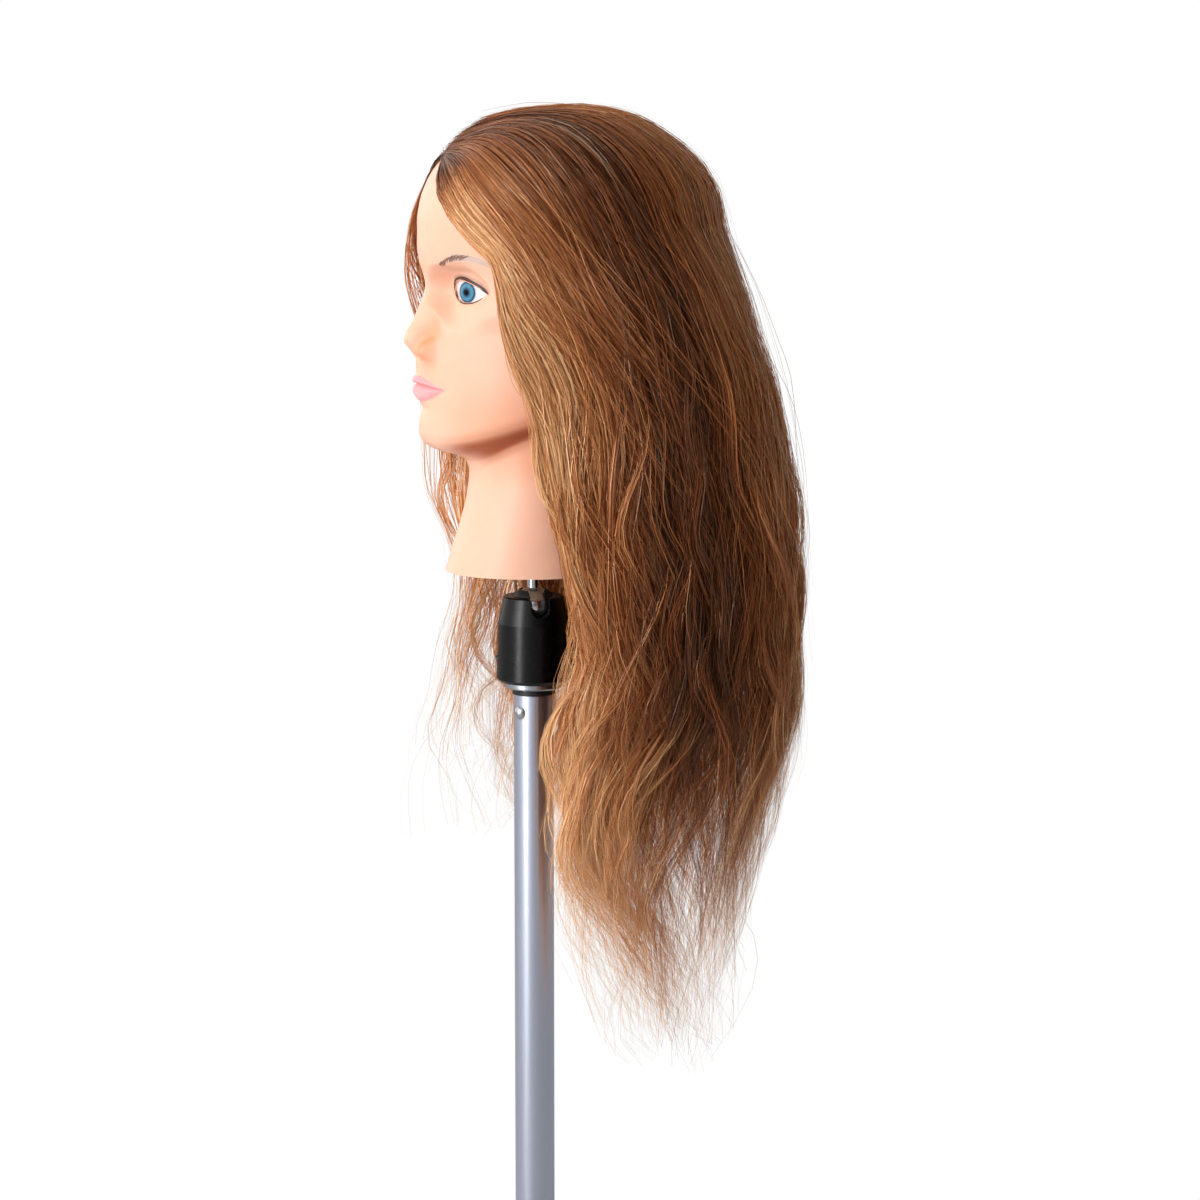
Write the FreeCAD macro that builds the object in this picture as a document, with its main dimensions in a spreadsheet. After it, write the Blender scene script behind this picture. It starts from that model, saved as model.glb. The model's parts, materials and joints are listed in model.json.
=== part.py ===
import FreeCAD, Part
import Sketcher
import math
import os
import re

from FreeCAD import Placement, Rotation, Vector

# A mannequin training head on its ball clamp and the top length of its stand tube.
# Millimetres. +Z is up, the face looks along -Y and the head's left side is +X.
# The origin is on the tube's axis, at the tube's lower end.

os.makedirs("parts", exist_ok=True)
doc = FreeCAD.newDocument("mannequin_training_head")

# ---------------------------------------------------------------- driving dimensions
DIMENSIONS = {
    # stand tube and the spigot pressed into its top
    "tube_radius": 12.5,
    "tube_bore": 11.0,
    "tube_top": 341.0,
    "bush_height": 4.0,
    "bush_radius": 13.4,
    "skirt_depth": 2.5,
    "ring_radius": 18.4,
    "ring_height": 3.8,
    "plug_radius": 10.9,
    "plug_length": 48.0,
    "plug_hollow": 8.0,
    "neck_radius": 8.0,
    "pivot_radius": 6.0,
    "pivot_top": 357.0,
    "running_gap": 0.08,
    "air_gap": 0.3,
    # snap button in the tube wall
    "button_level": 330.0,
    "button_turn": -57.0,
    "button_radius": 4.0,
    "spring_sheet": 0.8,
    "spring_width": 6.0,
    # ball clamp
    "ball_level": 397.0,
    "ball_radius": 12.0,
    "stem_radius": 4.0,
    "stem_top": 452.0,
    "liner_wall": 1.2,
    "liner_gap": 0.15,
    "liner_slot": 10.0,
    "housing_base": 349.1,
    "housing_top": 403.0,
    "housing_foot": 23.4,
    "housing_waist": 22.2,
    "housing_mouth": 18.4,
    "taper_level": 386.0,
    "floor_height": 4.0,
    "housing_bore": 13.9,
    "notch_width": 12.0,
    # brake that locks the ball
    "pad_radius": 13.6,
    "pad_base": 359.0,
    "pad_top": 385.0,
    "pad_nose": 6.0,
    "screw_level": 364.4,
    "screw_radius": 3.0,
    "boss_radius": 8.0,
    "boss_end": 29.0,
    "knob_radius": 15.0,
    "knob_start": 31.0,
    "knob_length": 19.0,
    "hub_radius": 8.0,
    "hub_length": 5.0,
    "flute_radius": 5.0,
    "flute_circle": 17.6,
    "guide_radius": 2.0,
    # head
    "rim_level": 420.0,
    "skin_wall": 3.0,
    "glue_gap": 0.4,
    "plate_level": 424.0,
    "plate_height": 6.0,
    "insert_flange": 14.0,
    "insert_barrel": 8.0,
    "insert_height": 24.0,
    "nut_size": 7.5,
    "nut_height": 3.4,
    "neck_screw_circle": 30.0,
    "eye_spread": 29.5,
    "eye_front": -50.0,
    "eye_level": 594.0,
    "eye_curve": 24.0,
    "eye_bearing": 27.0,
    "eye_disc": 17.0,
    "eye_thickness": 9.0,
    # hair
    "hair_gap": 0.8,
    "crown_thickness": 8.0,
    "crown_hem": 560.0,
    "pole_clearance": 31.0,
}

dims = doc.addObject("Spreadsheet::Sheet", "dims")
for row, (alias, value) in enumerate(DIMENSIONS.items(), start=1):
    dims.set(f"A{row}", alias)
    dims.set(f"B{row}", str(value))
    dims.setAlias(f"B{row}", alias)
doc.recompute()


def size(alias):
    """The sheet's value, for the freely curved pieces that are built from their own outlines."""
    return float(dims.get(alias))


def formula(text):
    """Turn 'tube_top + 2' into an expression on the sheet."""
    return re.sub(r"[a-z_]+", lambda w: f"dims.{w[0]}" if w[0] in DIMENSIONS else w[0], str(text))


def bind(obj, **texts):
    for name, text in texts.items():
        obj.setExpression(name, formula(text))
    return obj


def place(obj, x=0, y=0, z=0, turn=None):
    if turn:
        obj.Placement = Placement(Vector(), turn)
    for axis, text in zip("xyz", (x, y, z)):
        obj.setExpression(f"Placement.Base.{axis}", formula(text))
    return obj


ALONG_X = Rotation(Vector(0, 1, 0), 90)
ALONG_Y = Rotation(Vector(1, 0, 0), -90)
ALONG_MINUS_Y = Rotation(Vector(1, 0, 0), 90)


def cylinder(name, radius, height, x=0, y=0, z=0, turn=None):
    obj = bind(doc.addObject("Part::Cylinder", name), Radius=radius, Height=height)
    return place(obj, x, y, z, turn)


def cone(name, start, end, height, x=0, y=0, z=0, turn=None):
    obj = bind(doc.addObject("Part::Cone", name), Radius1=start, Radius2=end, Height=height)
    return place(obj, x, y, z, turn)


def sphere(name, radius, x=0, y=0, z=0):
    return place(bind(doc.addObject("Part::Sphere", name), Radius=radius), x, y, z)


def box(name, length, width, height, x=0, y=0, z=0):
    obj = bind(doc.addObject("Part::Box", name), Length=length, Width=width, Height=height)
    return place(obj, x, y, z)


def cut(name, base, *tools):
    for left, tool in reversed(list(enumerate(reversed(tools)))):
        obj = doc.addObject("Part::Cut", f"{name}_less_{left}" if left else name)
        obj.Base, obj.Tool = base, tool
        base = obj
    return base


def fuse(name, *shapes):
    obj = doc.addObject("Part::MultiFuse", name)
    obj.Shapes = list(shapes)
    return obj


def common(name, *shapes):
    obj = doc.addObject("Part::MultiCommon", name)
    obj.Shapes = list(shapes)
    return obj


def curved(name, shape):
    """A freely curved piece, whose shape comes from Part's own functions."""
    obj = doc.addObject("Part::Feature", name)
    obj.Shape = shape
    return obj


def own_plane(body, role):
    return next(f for f in body.Origin.OriginFeatures if f.Role == role)


def new_sketch(body, name, role):
    sketch = body.newObject("Sketcher::SketchObject", name)
    sketch.AttachmentSupport = (own_plane(body, role), [""])
    sketch.MapMode = "FlatFace"
    return sketch


def turned(name, outline, turn=None, z=0):
    """A lathe-turned piece: an outline of (radius, height) points turned about the body's own Z."""
    body = doc.addObject("PartDesign::Body", name)
    sketch = new_sketch(body, f"{name}_outline", "XZ_Plane")
    count = len(outline)
    guess = [(k % 3 + 1.0, float(k)) for k in range(count)]
    for k in range(count):
        start, end = guess[k], guess[(k + 1) % count]
        sketch.addGeometry(Part.LineSegment(Vector(*start, 0), Vector(*end, 0)), False)
    for k in range(count):
        sketch.addConstraint(Sketcher.Constraint("Coincident", k, 2, (k + 1) % count, 1))
    for k, (radius, height) in enumerate(outline):
        for kind, text in (("DistanceX", radius), ("DistanceY", height)):
            index = sketch.addConstraint(Sketcher.Constraint(kind, -1, 1, k, 1, 1.0 + k))
            sketch.setExpression(f"Constraints[{index}]", formula(text))
    revolution = body.newObject("PartDesign::Revolution", f"{name}_turning")
    revolution.Profile = sketch
    revolution.ReferenceAxis = (sketch, ["V_Axis"])
    revolution.Angle = 360
    return place(body, z=z, turn=turn)


# ---------------------------------------------------------------- stand tube
def make_tube():
    wall = turned("tube_wall", [
        ("tube_bore", 0), ("tube_radius - 0.4", 0), ("tube_radius", 0.4),
        ("tube_radius", "tube_top - 0.3"), ("tube_radius - 0.3", "tube_top"), ("tube_bore", "tube_top"),
    ])
    hole = across_tube("tube_button_hole", "button_radius + 0.15", 0, "tube_radius + 4")
    return cut("tube", wall, hole)


def across_tube(name, radius, start, length):
    """A cylinder that points outward at the snap button's height and bearing."""
    bearing = Rotation(Vector(0, 0, 1), size("button_turn"))
    obj = bind(doc.addObject("Part::Cylinder", name), Radius=radius, Height=length)
    return place(
        obj,
        x=f"({start}) * cos(button_turn)", y=f"({start}) * sin(button_turn)", z="button_level",
        turn=bearing * ALONG_X,
    )


def make_bush():
    return turned("tube_bush", [
        ("neck_radius + 0.1", "tube_top - skirt_depth"), ("plug_radius", "tube_top - skirt_depth"),
        ("plug_radius", "tube_top"), ("bush_radius", "tube_top"),
        ("bush_radius", "tube_top + bush_height - 0.8"), ("bush_radius - 0.8", "tube_top + bush_height"),
        ("neck_radius + 0.1", "tube_top + bush_height"),
    ])


def make_flange_ring():
    base = "tube_top + bush_height"
    top = f"{base} + ring_height"
    return turned("flange_ring", [
        ("pivot_radius + 0.1", base), ("ring_radius - 1.2", base), ("ring_radius", f"{base} + 1.0"),
        ("ring_radius", f"{top} - 0.4"), ("ring_radius - 0.4", top), ("pivot_radius + 0.1", top),
    ])


def make_spigot():
    base = "tube_top - skirt_depth - 0.2 - plug_length"
    shoulder = "tube_top - skirt_depth - 0.2"
    ring_seat = "tube_top + bush_height"
    groove = "housing_base + floor_height + 1.8"
    turning = turned("spigot_turning", [
        ("plug_hollow", base), ("plug_radius - 0.5", base), ("plug_radius", f"{base} + 0.5"),
        ("plug_radius", shoulder), ("neck_radius", shoulder), ("neck_radius", ring_seat),
        ("pivot_radius", ring_seat), ("pivot_radius", groove), ("pivot_radius - 0.6", groove),
        ("pivot_radius - 0.6", f"{groove} + 1.2"), ("pivot_radius", f"{groove} + 1.2"),
        ("pivot_radius", "pivot_top - 0.5"), ("pivot_radius - 0.5", "pivot_top"),
        (0, "pivot_top"), (0, "button_level + 5.5"), ("plug_hollow", "button_level + 5.5"),
    ])
    hole = across_tube("spigot_button_hole", "button_radius + 0.1", 3, "tube_radius")
    return cut("spigot", turning, hole)


def make_spigot_washer():
    base = "housing_base + floor_height + air_gap"
    top = f"{base} + 1.2"
    return turned("spigot_washer", [
        ("pivot_radius + 0.1", base), ("pivot_radius + 6", base),
        ("pivot_radius + 6", top), ("pivot_radius + 0.1", top),
    ])


def make_retaining_ring():
    base = "housing_base + floor_height + 1.9"
    band = cylinder("retaining_band", "pivot_radius + 3", 1, z=base)
    bore = cylinder("retaining_bore", "pivot_radius - 0.5", 3, z=f"{base} - 1")
    mouth = box("retaining_mouth", 12, 5, 3, x="pivot_radius - 4", y=-2.5, z=f"{base} - 1")
    return cut("retaining_ring", band, bore, mouth)


def make_snap_button():
    barrel = across_tube("button_barrel", "button_radius", 5.8, "tube_radius + 0.6 - 5.8")
    lip = across_tube("button_lip", "button_radius + 1.1", 4.6, 1.2)
    cap_reach = "tube_radius - 2.4"
    dome_ball = place(
        bind(doc.addObject("Part::Sphere", "button_dome_ball"), Radius="button_radius + 1"),
        x=f"({cap_reach}) * cos(button_turn)", y=f"({cap_reach}) * sin(button_turn)", z="button_level",
    )
    dome_core = across_tube("button_dome_core", "button_radius", "tube_radius + 0.6", 4)
    dome = common("button_dome", dome_ball, dome_core)
    return fuse("snap_button", barrel, lip, dome)


def make_snap_spring():
    """A strip of spring steel bent to a U, with the button on one leg and the plug wall behind the other."""
    sheet, width = size("spring_sheet"), size("spring_width")
    front, back = 4.5, -6.6
    top, bottom = size("button_level") + 5.0, size("button_level") - 26.0
    radius = (front - back) / 2
    middle = (front + back) / 2
    outer = Part.Wire([
        Part.LineSegment(Vector(front, 0, top), Vector(front, 0, bottom)).toShape(),
        Part.Arc(
            Vector(front, 0, bottom), Vector(middle, 0, bottom - radius), Vector(back, 0, bottom)
        ).toShape(),
        Part.LineSegment(Vector(back, 0, bottom), Vector(back, 0, top - 8)).toShape(),
    ])
    inner_front, inner_back = front - sheet, back + sheet
    inner = Part.Wire([
        Part.LineSegment(Vector(inner_back, 0, top - 8), Vector(inner_back, 0, bottom)).toShape(),
        Part.Arc(
            Vector(inner_back, 0, bottom), Vector(middle, 0, bottom - radius + sheet),
            Vector(inner_front, 0, bottom),
        ).toShape(),
        Part.LineSegment(Vector(inner_front, 0, bottom), Vector(inner_front, 0, top)).toShape(),
    ])
    joins = [
        Part.LineSegment(Vector(back, 0, top - 8), Vector(inner_back, 0, top - 8)).toShape(),
        Part.LineSegment(Vector(inner_front, 0, top), Vector(front, 0, top)).toShape(),
    ]
    edge = Part.Wire(Part.__sortEdges__(outer.Edges + inner.Edges + joins))
    strip = Part.Face(edge).extrude(Vector(0, width, 0))
    strip.translate(Vector(0, -width / 2, 0))
    strip.rotate(Vector(), Vector(0, 0, 1), size("button_turn"))
    return curved("snap_spring", strip)


# ---------------------------------------------------------------- ball clamp
def make_socket_housing():
    """A bored body that tapers to its mouth, with a notch down one side for the ball's stem."""
    floor = "housing_base + floor_height"
    body = turned("housing_turning", [
        ("pivot_radius + running_gap", "housing_base"), ("housing_foot - 2", "housing_base"),
        ("housing_foot", "housing_base + 2"), ("housing_waist", "taper_level"),
        ("housing_mouth + 0.6", "housing_top - 0.8"), ("housing_mouth - 0.4", "housing_top"),
        ("housing_mouth - 6", "housing_top"), ("housing_mouth - 6", "ball_level + 3"),
        ("housing_bore", "ball_level"), ("housing_bore", floor), ("pivot_radius + running_gap", floor),
    ])
    boss = cylinder("housing_boss", "boss_radius", "boss_end - 18", y=18, z="screw_level", turn=ALONG_Y)
    seat = sphere("housing_seat", "ball_radius + liner_gap + liner_wall + air_gap", z="ball_level")
    notch = box(
        "housing_notch", 30, "notch_width", 40,
        x=0, y="-notch_width / 2", z="ball_level",
    )
    notch_end = cylinder("housing_notch_end", "notch_width / 2", 30, z="ball_level", turn=ALONG_X)
    screw_way = cylinder("housing_screw_way", "screw_radius + running_gap", 30, y=8, z="screw_level", turn=ALONG_Y)
    guide_way = cylinder("housing_guide_way", "guide_radius + 0.05", 20, y=-8, z="screw_level", turn=ALONG_MINUS_Y)
    return cut("socket_housing", fuse("housing_cast", body, boss), cavity(), seat, notch, notch_end,
               screw_way, guide_way)


def cavity():
    """The bore below the ball, cut again after the boss is added."""
    return cylinder(
        "housing_cavity", "housing_bore", "ball_level - housing_base - floor_height",
        z="housing_base + floor_height",
    )


def make_ball_liner():
    """A thin nylon seat round the ball, open at the top, at the bottom and along the notch."""
    shell = cut(
        "liner_shell",
        sphere("liner_outside", "ball_radius + liner_gap + liner_wall", z="ball_level"),
        sphere("liner_inside", "ball_radius + liner_gap", z="ball_level"),
    )
    top = cone("liner_top", 0, "20 * tan(42)", 20, z="ball_level")
    bottom = cone("liner_bottom", "20 * tan(55)", 0, 20, z="ball_level - 20")
    slot = box("liner_slot", 20, "liner_slot", 20, y="-liner_slot / 2", z="ball_level")
    slot_end = cylinder("liner_slot_end", "liner_slot / 2", 20, z="ball_level", turn=ALONG_X)
    return cut("ball_liner", shell, top, bottom, slot, slot_end)


def make_brake_pad():
    """A plunger whose cupped nose grips the ball when the screw's cone lifts it."""
    body = cylinder("pad_body", "pad_radius", "pad_top - pad_base", z="pad_base")
    nose = cylinder("pad_nose", "pad_nose", 6, z="pad_top")
    cup = sphere("pad_cup", "ball_radius + liner_gap", z="ball_level")
    screw_hole = cylinder("pad_screw_hole", "screw_radius + 1", 20, y=3.2, z="screw_level", turn=ALONG_Y)
    wedge = cone("pad_wedge", "screw_radius - 1.8", "screw_radius + 1", 2.8, y=0.4, z="screw_level", turn=ALONG_Y)
    keyway = box(
        "pad_keyway", "2 * guide_radius + 0.6", 3, "2 * guide_radius + 2.4",
        x="-guide_radius - 0.3", y="-pad_radius - 1", z="screw_level - guide_radius - 1",
    )
    return cut("brake_pad", fuse("pad_blank", body, nose), cup, screw_hole, wedge, keyway)


def make_guide_screw():
    """A set screw with a dog point that stops the brake pad from turning."""
    head = "housing_foot + 0.8"
    shank = cylinder("guide_shank", "guide_radius", f"{head} - 14.2", y=-14.2, z="screw_level", turn=ALONG_MINUS_Y)
    point = cylinder("guide_point", "guide_radius - 0.5", 2, y=-12.6, z="screw_level", turn=ALONG_MINUS_Y)
    key = doc.addObject("Part::Prism", "guide_key")
    bind(key, Circumradius="guide_radius * 0.55", Height=2)
    place(key, y=f"-({head}) + 1.4", z="screw_level", turn=ALONG_MINUS_Y)
    return cut("guide_screw", fuse("guide_turning", shank, point), key)


def make_lock_tip():
    nose = cone("tip_nose", 0.8, "screw_radius", 2.2, y=0.4, z="screw_level", turn=ALONG_Y)
    collar = cylinder("tip_collar", "screw_radius", 2.4, y=2.6, z="screw_level", turn=ALONG_Y)
    stub = cylinder("tip_stub", 1.5, 4.9, y=4.0, z="screw_level", turn=ALONG_Y)
    return fuse("lock_tip", nose, collar, stub)


def make_lock_screw():
    rod = turned("lock_screw_rod", [
        (0, 9.2), (1.58, 9.2), (1.58, 5.3), ("screw_radius - 0.3", 5.3), ("screw_radius", 5.6),
        ("screw_radius", "knob_start + knob_length - 5.5"), ("screw_radius - 0.5", "knob_start + knob_length - 5"),
        (0, "knob_start + knob_length - 5"),
    ], turn=ALONG_Y, z="screw_level")
    rod.Label = "lock_screw"
    return rod


def make_lock_knob():
    """A moulded knob with six finger flutes, a hub towards the housing and a blind hole for the screw."""
    body = doc.addObject("PartDesign::Body", "lock_knob")
    disc = new_sketch(body, "knob_disc", "XY_Plane")
    disc.addGeometry(Part.Circle(Vector(), Vector(0, 0, 1), 15), False)
    disc.addConstraint(Sketcher.Constraint("Coincident", 0, 3, -1, 1))
    radius = disc.addConstraint(Sketcher.Constraint("Radius", 0, 15))
    disc.setExpression(f"Constraints[{radius}]", formula("knob_radius"))
    pad = body.newObject("PartDesign::Pad", "knob_pad")
    pad.Profile = disc
    bind(pad, Length="knob_length - hub_length")
    doc.recompute()
    flute = new_sketch(body, "knob_flute", "XY_Plane")
    flute.addGeometry(Part.Circle(Vector(18, 0, 0), Vector(0, 0, 1), 5), False)
    across = flute.addConstraint(Sketcher.Constraint("DistanceX", -1, 1, 0, 3, 18))
    flute.setExpression(f"Constraints[{across}]", formula("flute_circle"))
    flute.addConstraint(Sketcher.Constraint("PointOnObject", 0, 3, -1))
    flute_size = flute.addConstraint(Sketcher.Constraint("Radius", 0, 5))
    flute.setExpression(f"Constraints[{flute_size}]", formula("flute_radius"))
    pocket = body.newObject("PartDesign::Pocket", "knob_flute_cut")
    pocket.Profile = flute
    pocket.Type = "ThroughAll"
    pocket.Reversed = True
    doc.recompute()
    flutes = body.newObject("PartDesign::PolarPattern", "knob_flutes")
    flutes.Originals = [pocket]
    flutes.Axis = (disc, ["N_Axis"])
    flutes.Angle = 360
    flutes.Occurrences = 6
    body.Tip = flutes
    doc.recompute()
    hub_outline = new_sketch(body, "knob_hub_outline", "XY_Plane")
    hub_outline.addGeometry(Part.Circle(Vector(), Vector(0, 0, 1), 8), False)
    hub_outline.addConstraint(Sketcher.Constraint("Coincident", 0, 3, -1, 1))
    hub_size = hub_outline.addConstraint(Sketcher.Constraint("Radius", 0, 8))
    hub_outline.setExpression(f"Constraints[{hub_size}]", formula("hub_radius"))
    hub = body.newObject("PartDesign::Pad", "knob_hub")
    hub.Profile = hub_outline
    bind(hub, Length="hub_length")
    hub.Reversed = True
    doc.recompute()
    bore_outline = new_sketch(body, "knob_bore_outline", "XY_Plane")
    bore_outline.setExpression("AttachmentOffset.Base.z", formula("-hub_length"))
    bore_outline.addGeometry(Part.Circle(Vector(), Vector(0, 0, 1), 3), False)
    bore_outline.addConstraint(Sketcher.Constraint("Coincident", 0, 3, -1, 1))
    bore = bore_outline.addConstraint(Sketcher.Constraint("Radius", 0, 3))
    bore_outline.setExpression(f"Constraints[{bore}]", formula("screw_radius + 0.02"))
    bored = body.newObject("PartDesign::Pocket", "knob_bore")
    bored.Profile = bore_outline
    bind(bored, Length="knob_length - hub_length + 0.2")
    bored.Reversed = True
    doc.recompute()
    return place(body, y="knob_start + hub_length", z="screw_level", turn=ALONG_Y)


def make_ball_stem():
    ball = sphere("stem_ball", "ball_radius", z="ball_level")
    stem = cylinder("stem_rod", "stem_radius", "stem_top - ball_level - 1", z="ball_level")
    lead = cone("stem_lead", "stem_radius", "stem_radius - 0.8", 1, z="stem_top - 1")
    return fuse("ball_stem", ball, stem, lead)


# ---------------------------------------------------------------- head
# Each station: height, front, back, half width, how far forward the widest place is, roundness.
SKULL_STATIONS = [
    (494, -58, 60, 44, 22, 2.0),
    (499, -69, 66, 51, 22, 2.0),
    (508, -72.5, 72, 57, 22, 2.0),
    (522, -72.5, 78, 61.5, 22, 2.0),
    (540, -75, 86, 65.5, 22, 1.9),
    (565, -72, 97, 69.5, 22, 1.85),
    (590, -67, 106, 72.5, 22, 1.8),
    (612, -69.5, 112, 74.5, 22, 2.1),
    (635, -69, 114, 75, 22, 2.2),
    (656, -63.5, 108, 71.5, 22, 2.2),
    (674, -53, 94, 64, 23, 2.15),
    (688, -37, 75, 51, 22, 2.1),
    (697, -17, 59, 34, 22, 2.0),
    (701, 4, 42, 14, 22, 2.0),
]
NECK_STATIONS = [
    (420, -55.5, 50, 50, 0, 2.0),
    (432, -52.5, 50, 48.5, 0, 2.0),
    (450, -46, 51.5, 46.5, 2, 2.0),
    (470, -41.5, 55, 46, 5, 2.0),
    (495, -40, 62, 47, 8, 2.0),
    (525, -38, 70, 48, 12, 2.0),
]
SECTION_POINTS = 20


def section(station, grow):
    """One closed outline round the head, wider by 'grow' on every side."""
    height, front, back, half_width, widest, roundness = station
    half_width += grow
    points = []
    for k in range(SECTION_POINTS):
        angle = 2 * math.pi * k / SECTION_POINTS
        across, along = math.sin(angle), -math.cos(angle)
        power = 2 / roundness if along < 0 else 1.0
        x = half_width * math.copysign(abs(across) ** power, across)
        reach = widest - front + grow if along < 0 else back + grow - widest
        y = widest + reach * math.copysign(abs(along) ** power, along)
        points.append(Vector(x, y, height))
    curve = Part.BSplineCurve()
    curve.interpolate(Points=points, PeriodicFlag=True)
    return Part.Wire(curve.toShape())


def loft(sections):
    return Part.makeLoft(sections, True, False)


def head_form(grow):
    """Skull, jaw and neck together, bigger by 'grow'."""
    skull = [section(s, grow) for s in SKULL_STATIONS]
    skull[-1] = section((SKULL_STATIONS[-1][0] + grow, *SKULL_STATIONS[-1][1:]), grow)
    if grow < 0:
        skull = [section((SKULL_STATIONS[0][0] - grow, *SKULL_STATIONS[0][1:]), grow)] + skull[1:]
    neck = [section(s, grow) for s in NECK_STATIONS]
    return loft(skull).fuse(loft(neck))


def nose_form():
    """A bridge that widens to a rounded tip and wings."""
    stations = [(601, -64.5, 6, 5.5), (585, -69, 8, 5), (571, -75.0, 9, 7.5), (563, -74.5, 9.3, 13),
                (556, -73, 6.5, 13.5)]
    wires = []
    for height, middle, depth, half_width in stations:
        points = [
            Vector(
                half_width * math.sin(2 * math.pi * k / 12), middle - depth * math.cos(2 * math.pi * k / 12),
                height,
            )
            for k in range(12)
        ]
        curve = Part.BSplineCurve()
        curve.interpolate(Points=points, PeriodicFlag=True)
        wires.append(Part.Wire(curve.toShape()))
    return loft(wires)


def eye_openings():
    """The gap between the lids of each eye."""
    gaps = []
    for side in (1, -1):
        centre = Vector(side * (size("eye_spread") - 1), 0, size("eye_level"))
        outline = Part.Ellipse(centre, 13.5, 5.8).toShape()
        outline.rotate(centre, Vector(1, 0, 0), 90)
        face = Part.Face(Part.Wire(outline))
        face.translate(Vector(0, -90, 0))
        gaps.append(face.extrude(Vector(0, 46, 0)))
    return gaps


def eye_pockets():
    """Room for both eye inserts, a little larger than they are."""
    pockets = []
    for side in (1, -1):
        outward = eye_outward(side)
        front = Vector(side * size("eye_spread"), size("eye_front"), size("eye_level"))
        middle = front - outward * size("eye_curve")
        ball = Part.makeSphere(size("eye_curve") + 0.3, middle)
        start = front - outward * (size("eye_thickness") + 0.3)
        pockets.append(ball.common(Part.makeCylinder(size("eye_disc") + 0.3, 20, start, outward)))
    return pockets


def eye_outward(side):
    """The way an eye's front faces: forward, and turned out to its own side."""
    bearing = math.radians(size("eye_bearing"))
    return Vector(side * math.sin(bearing), -math.cos(bearing), 0)


def make_head_skin():
    """The moulded vinyl skin: face, scalp and neck, open underneath."""
    outside = head_form(0).fuse(nose_form())
    inside = head_form(-size("skin_wall"))
    mouth = Part.Face(section((size("rim_level") - 1, *NECK_STATIONS[0][1:]), -size("skin_wall")))
    skin = outside.cut([inside, mouth.extrude(Vector(0, 0, 2)), *eye_openings(), *eye_pockets()])
    return curved("head_skin", skin.removeSplitter())


def inner_form():
    return head_form(-size("skin_wall") - size("glue_gap"))


def neck_screw_places():
    return [
        Vector(size("neck_screw_circle") * math.cos(a), size("neck_screw_circle") * math.sin(a), 0)
        for a in (math.radians(90), math.radians(210), math.radians(330))
    ]


def make_foam_core():
    """The rigid foam that fills the skin, with pockets for the insert, the screws and the eyes."""
    base = size("plate_level") + size("plate_height") + 0.3
    below = Part.makeBox(300, 300, base - 400, Vector(-150, -150, 400))
    insert_top = size("plate_level") + size("plate_height") + 0.3 + size("insert_height") + 0.5
    flange_pocket = Part.makeCylinder(size("insert_flange") + 0.3, 3.6, Vector(0, 0, base))
    barrel_pocket = Part.makeCylinder(size("insert_barrel") + 0.3, insert_top - base, Vector(0, 0, base))
    screw_pockets = [Part.makeCylinder(2.1, 16, Vector(p.x, p.y, base)) for p in neck_screw_places()]
    core = inner_form().cut([below, flange_pocket, barrel_pocket, *screw_pockets, *eye_pockets()])
    return curved("foam_core", core)


def make_neck_plate():
    level, height = size("plate_level"), size("plate_height")
    slab = Part.makeBox(300, 300, height, Vector(-150, -150, level))
    holes = [Part.makeCylinder(5.5, height, Vector(0, 0, level))]
    holes += [Part.makeCylinder(2.3, height, Vector(p.x, p.y, level)) for p in neck_screw_places()]
    return curved("neck_plate", inner_form().common(slab).cut(holes))


def make_neck_insert():
    base = "plate_level + plate_height + 0.3"
    flange = cylinder("insert_flange", "insert_flange", 3, z=base)
    barrel = cylinder("insert_barrel", "insert_barrel", "insert_height", z=base)
    bore = cylinder("insert_bore", "stem_radius + 0.05", "insert_height + 2", z=f"{base} - 1")
    return cut("neck_insert", fuse("insert_blank", flange, barrel), bore)


def make_stem_nut():
    blank = bind(doc.addObject("Part::Prism", "nut_blank"), Circumradius="nut_size", Height="nut_height")
    place(blank, z="plate_level - 0.1 - nut_height")
    bore = cylinder("nut_bore", "stem_radius + 0.05", "nut_height + 2", z="plate_level - 1.1 - nut_height")
    return cut("stem_nut", blank, bore)


def make_neck_screws():
    screws = []
    for k, spot in enumerate(neck_screw_places()):
        x, y = spot.x, spot.y
        head = cylinder(f"neck_screw_head_{k}", 4, 1.8, x, y, "plate_level - 1.8")
        shank = cylinder(f"neck_screw_shank_{k}", 2, "plate_height + 15", x, y, "plate_level - 0.4")
        drive = bind(doc.addObject("Part::Prism", f"neck_screw_drive_{k}"), Circumradius=1.6, Height=1.2)
        place(drive, x, y, "plate_level - 2")
        screws.append(cut(f"neck_screw_{k}", fuse(f"neck_screw_blank_{k}", head, shank), drive))
    group = doc.addObject("Part::Compound", "neck_screws")
    group.Links = screws
    return group


def make_eye(name, side):
    """A lens-shaped eye insert: the front of a large sphere, trimmed to a disc."""
    outward = Rotation(Vector(0, 0, 1), side * size("eye_bearing")) * ALONG_MINUS_Y
    ball = sphere(
        f"{name}_ball", "eye_curve",
        x=f"{side} * (eye_spread - eye_curve * sin(eye_bearing))",
        y="eye_front + eye_curve * cos(eye_bearing)", z="eye_level",
    )
    disc = cylinder(
        f"{name}_disc", "eye_disc", 20,
        x=f"{side} * (eye_spread - eye_thickness * sin(eye_bearing))",
        y="eye_front + eye_thickness * cos(eye_bearing)", z="eye_level", turn=outward,
    )
    return common(name, ball, disc)


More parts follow.
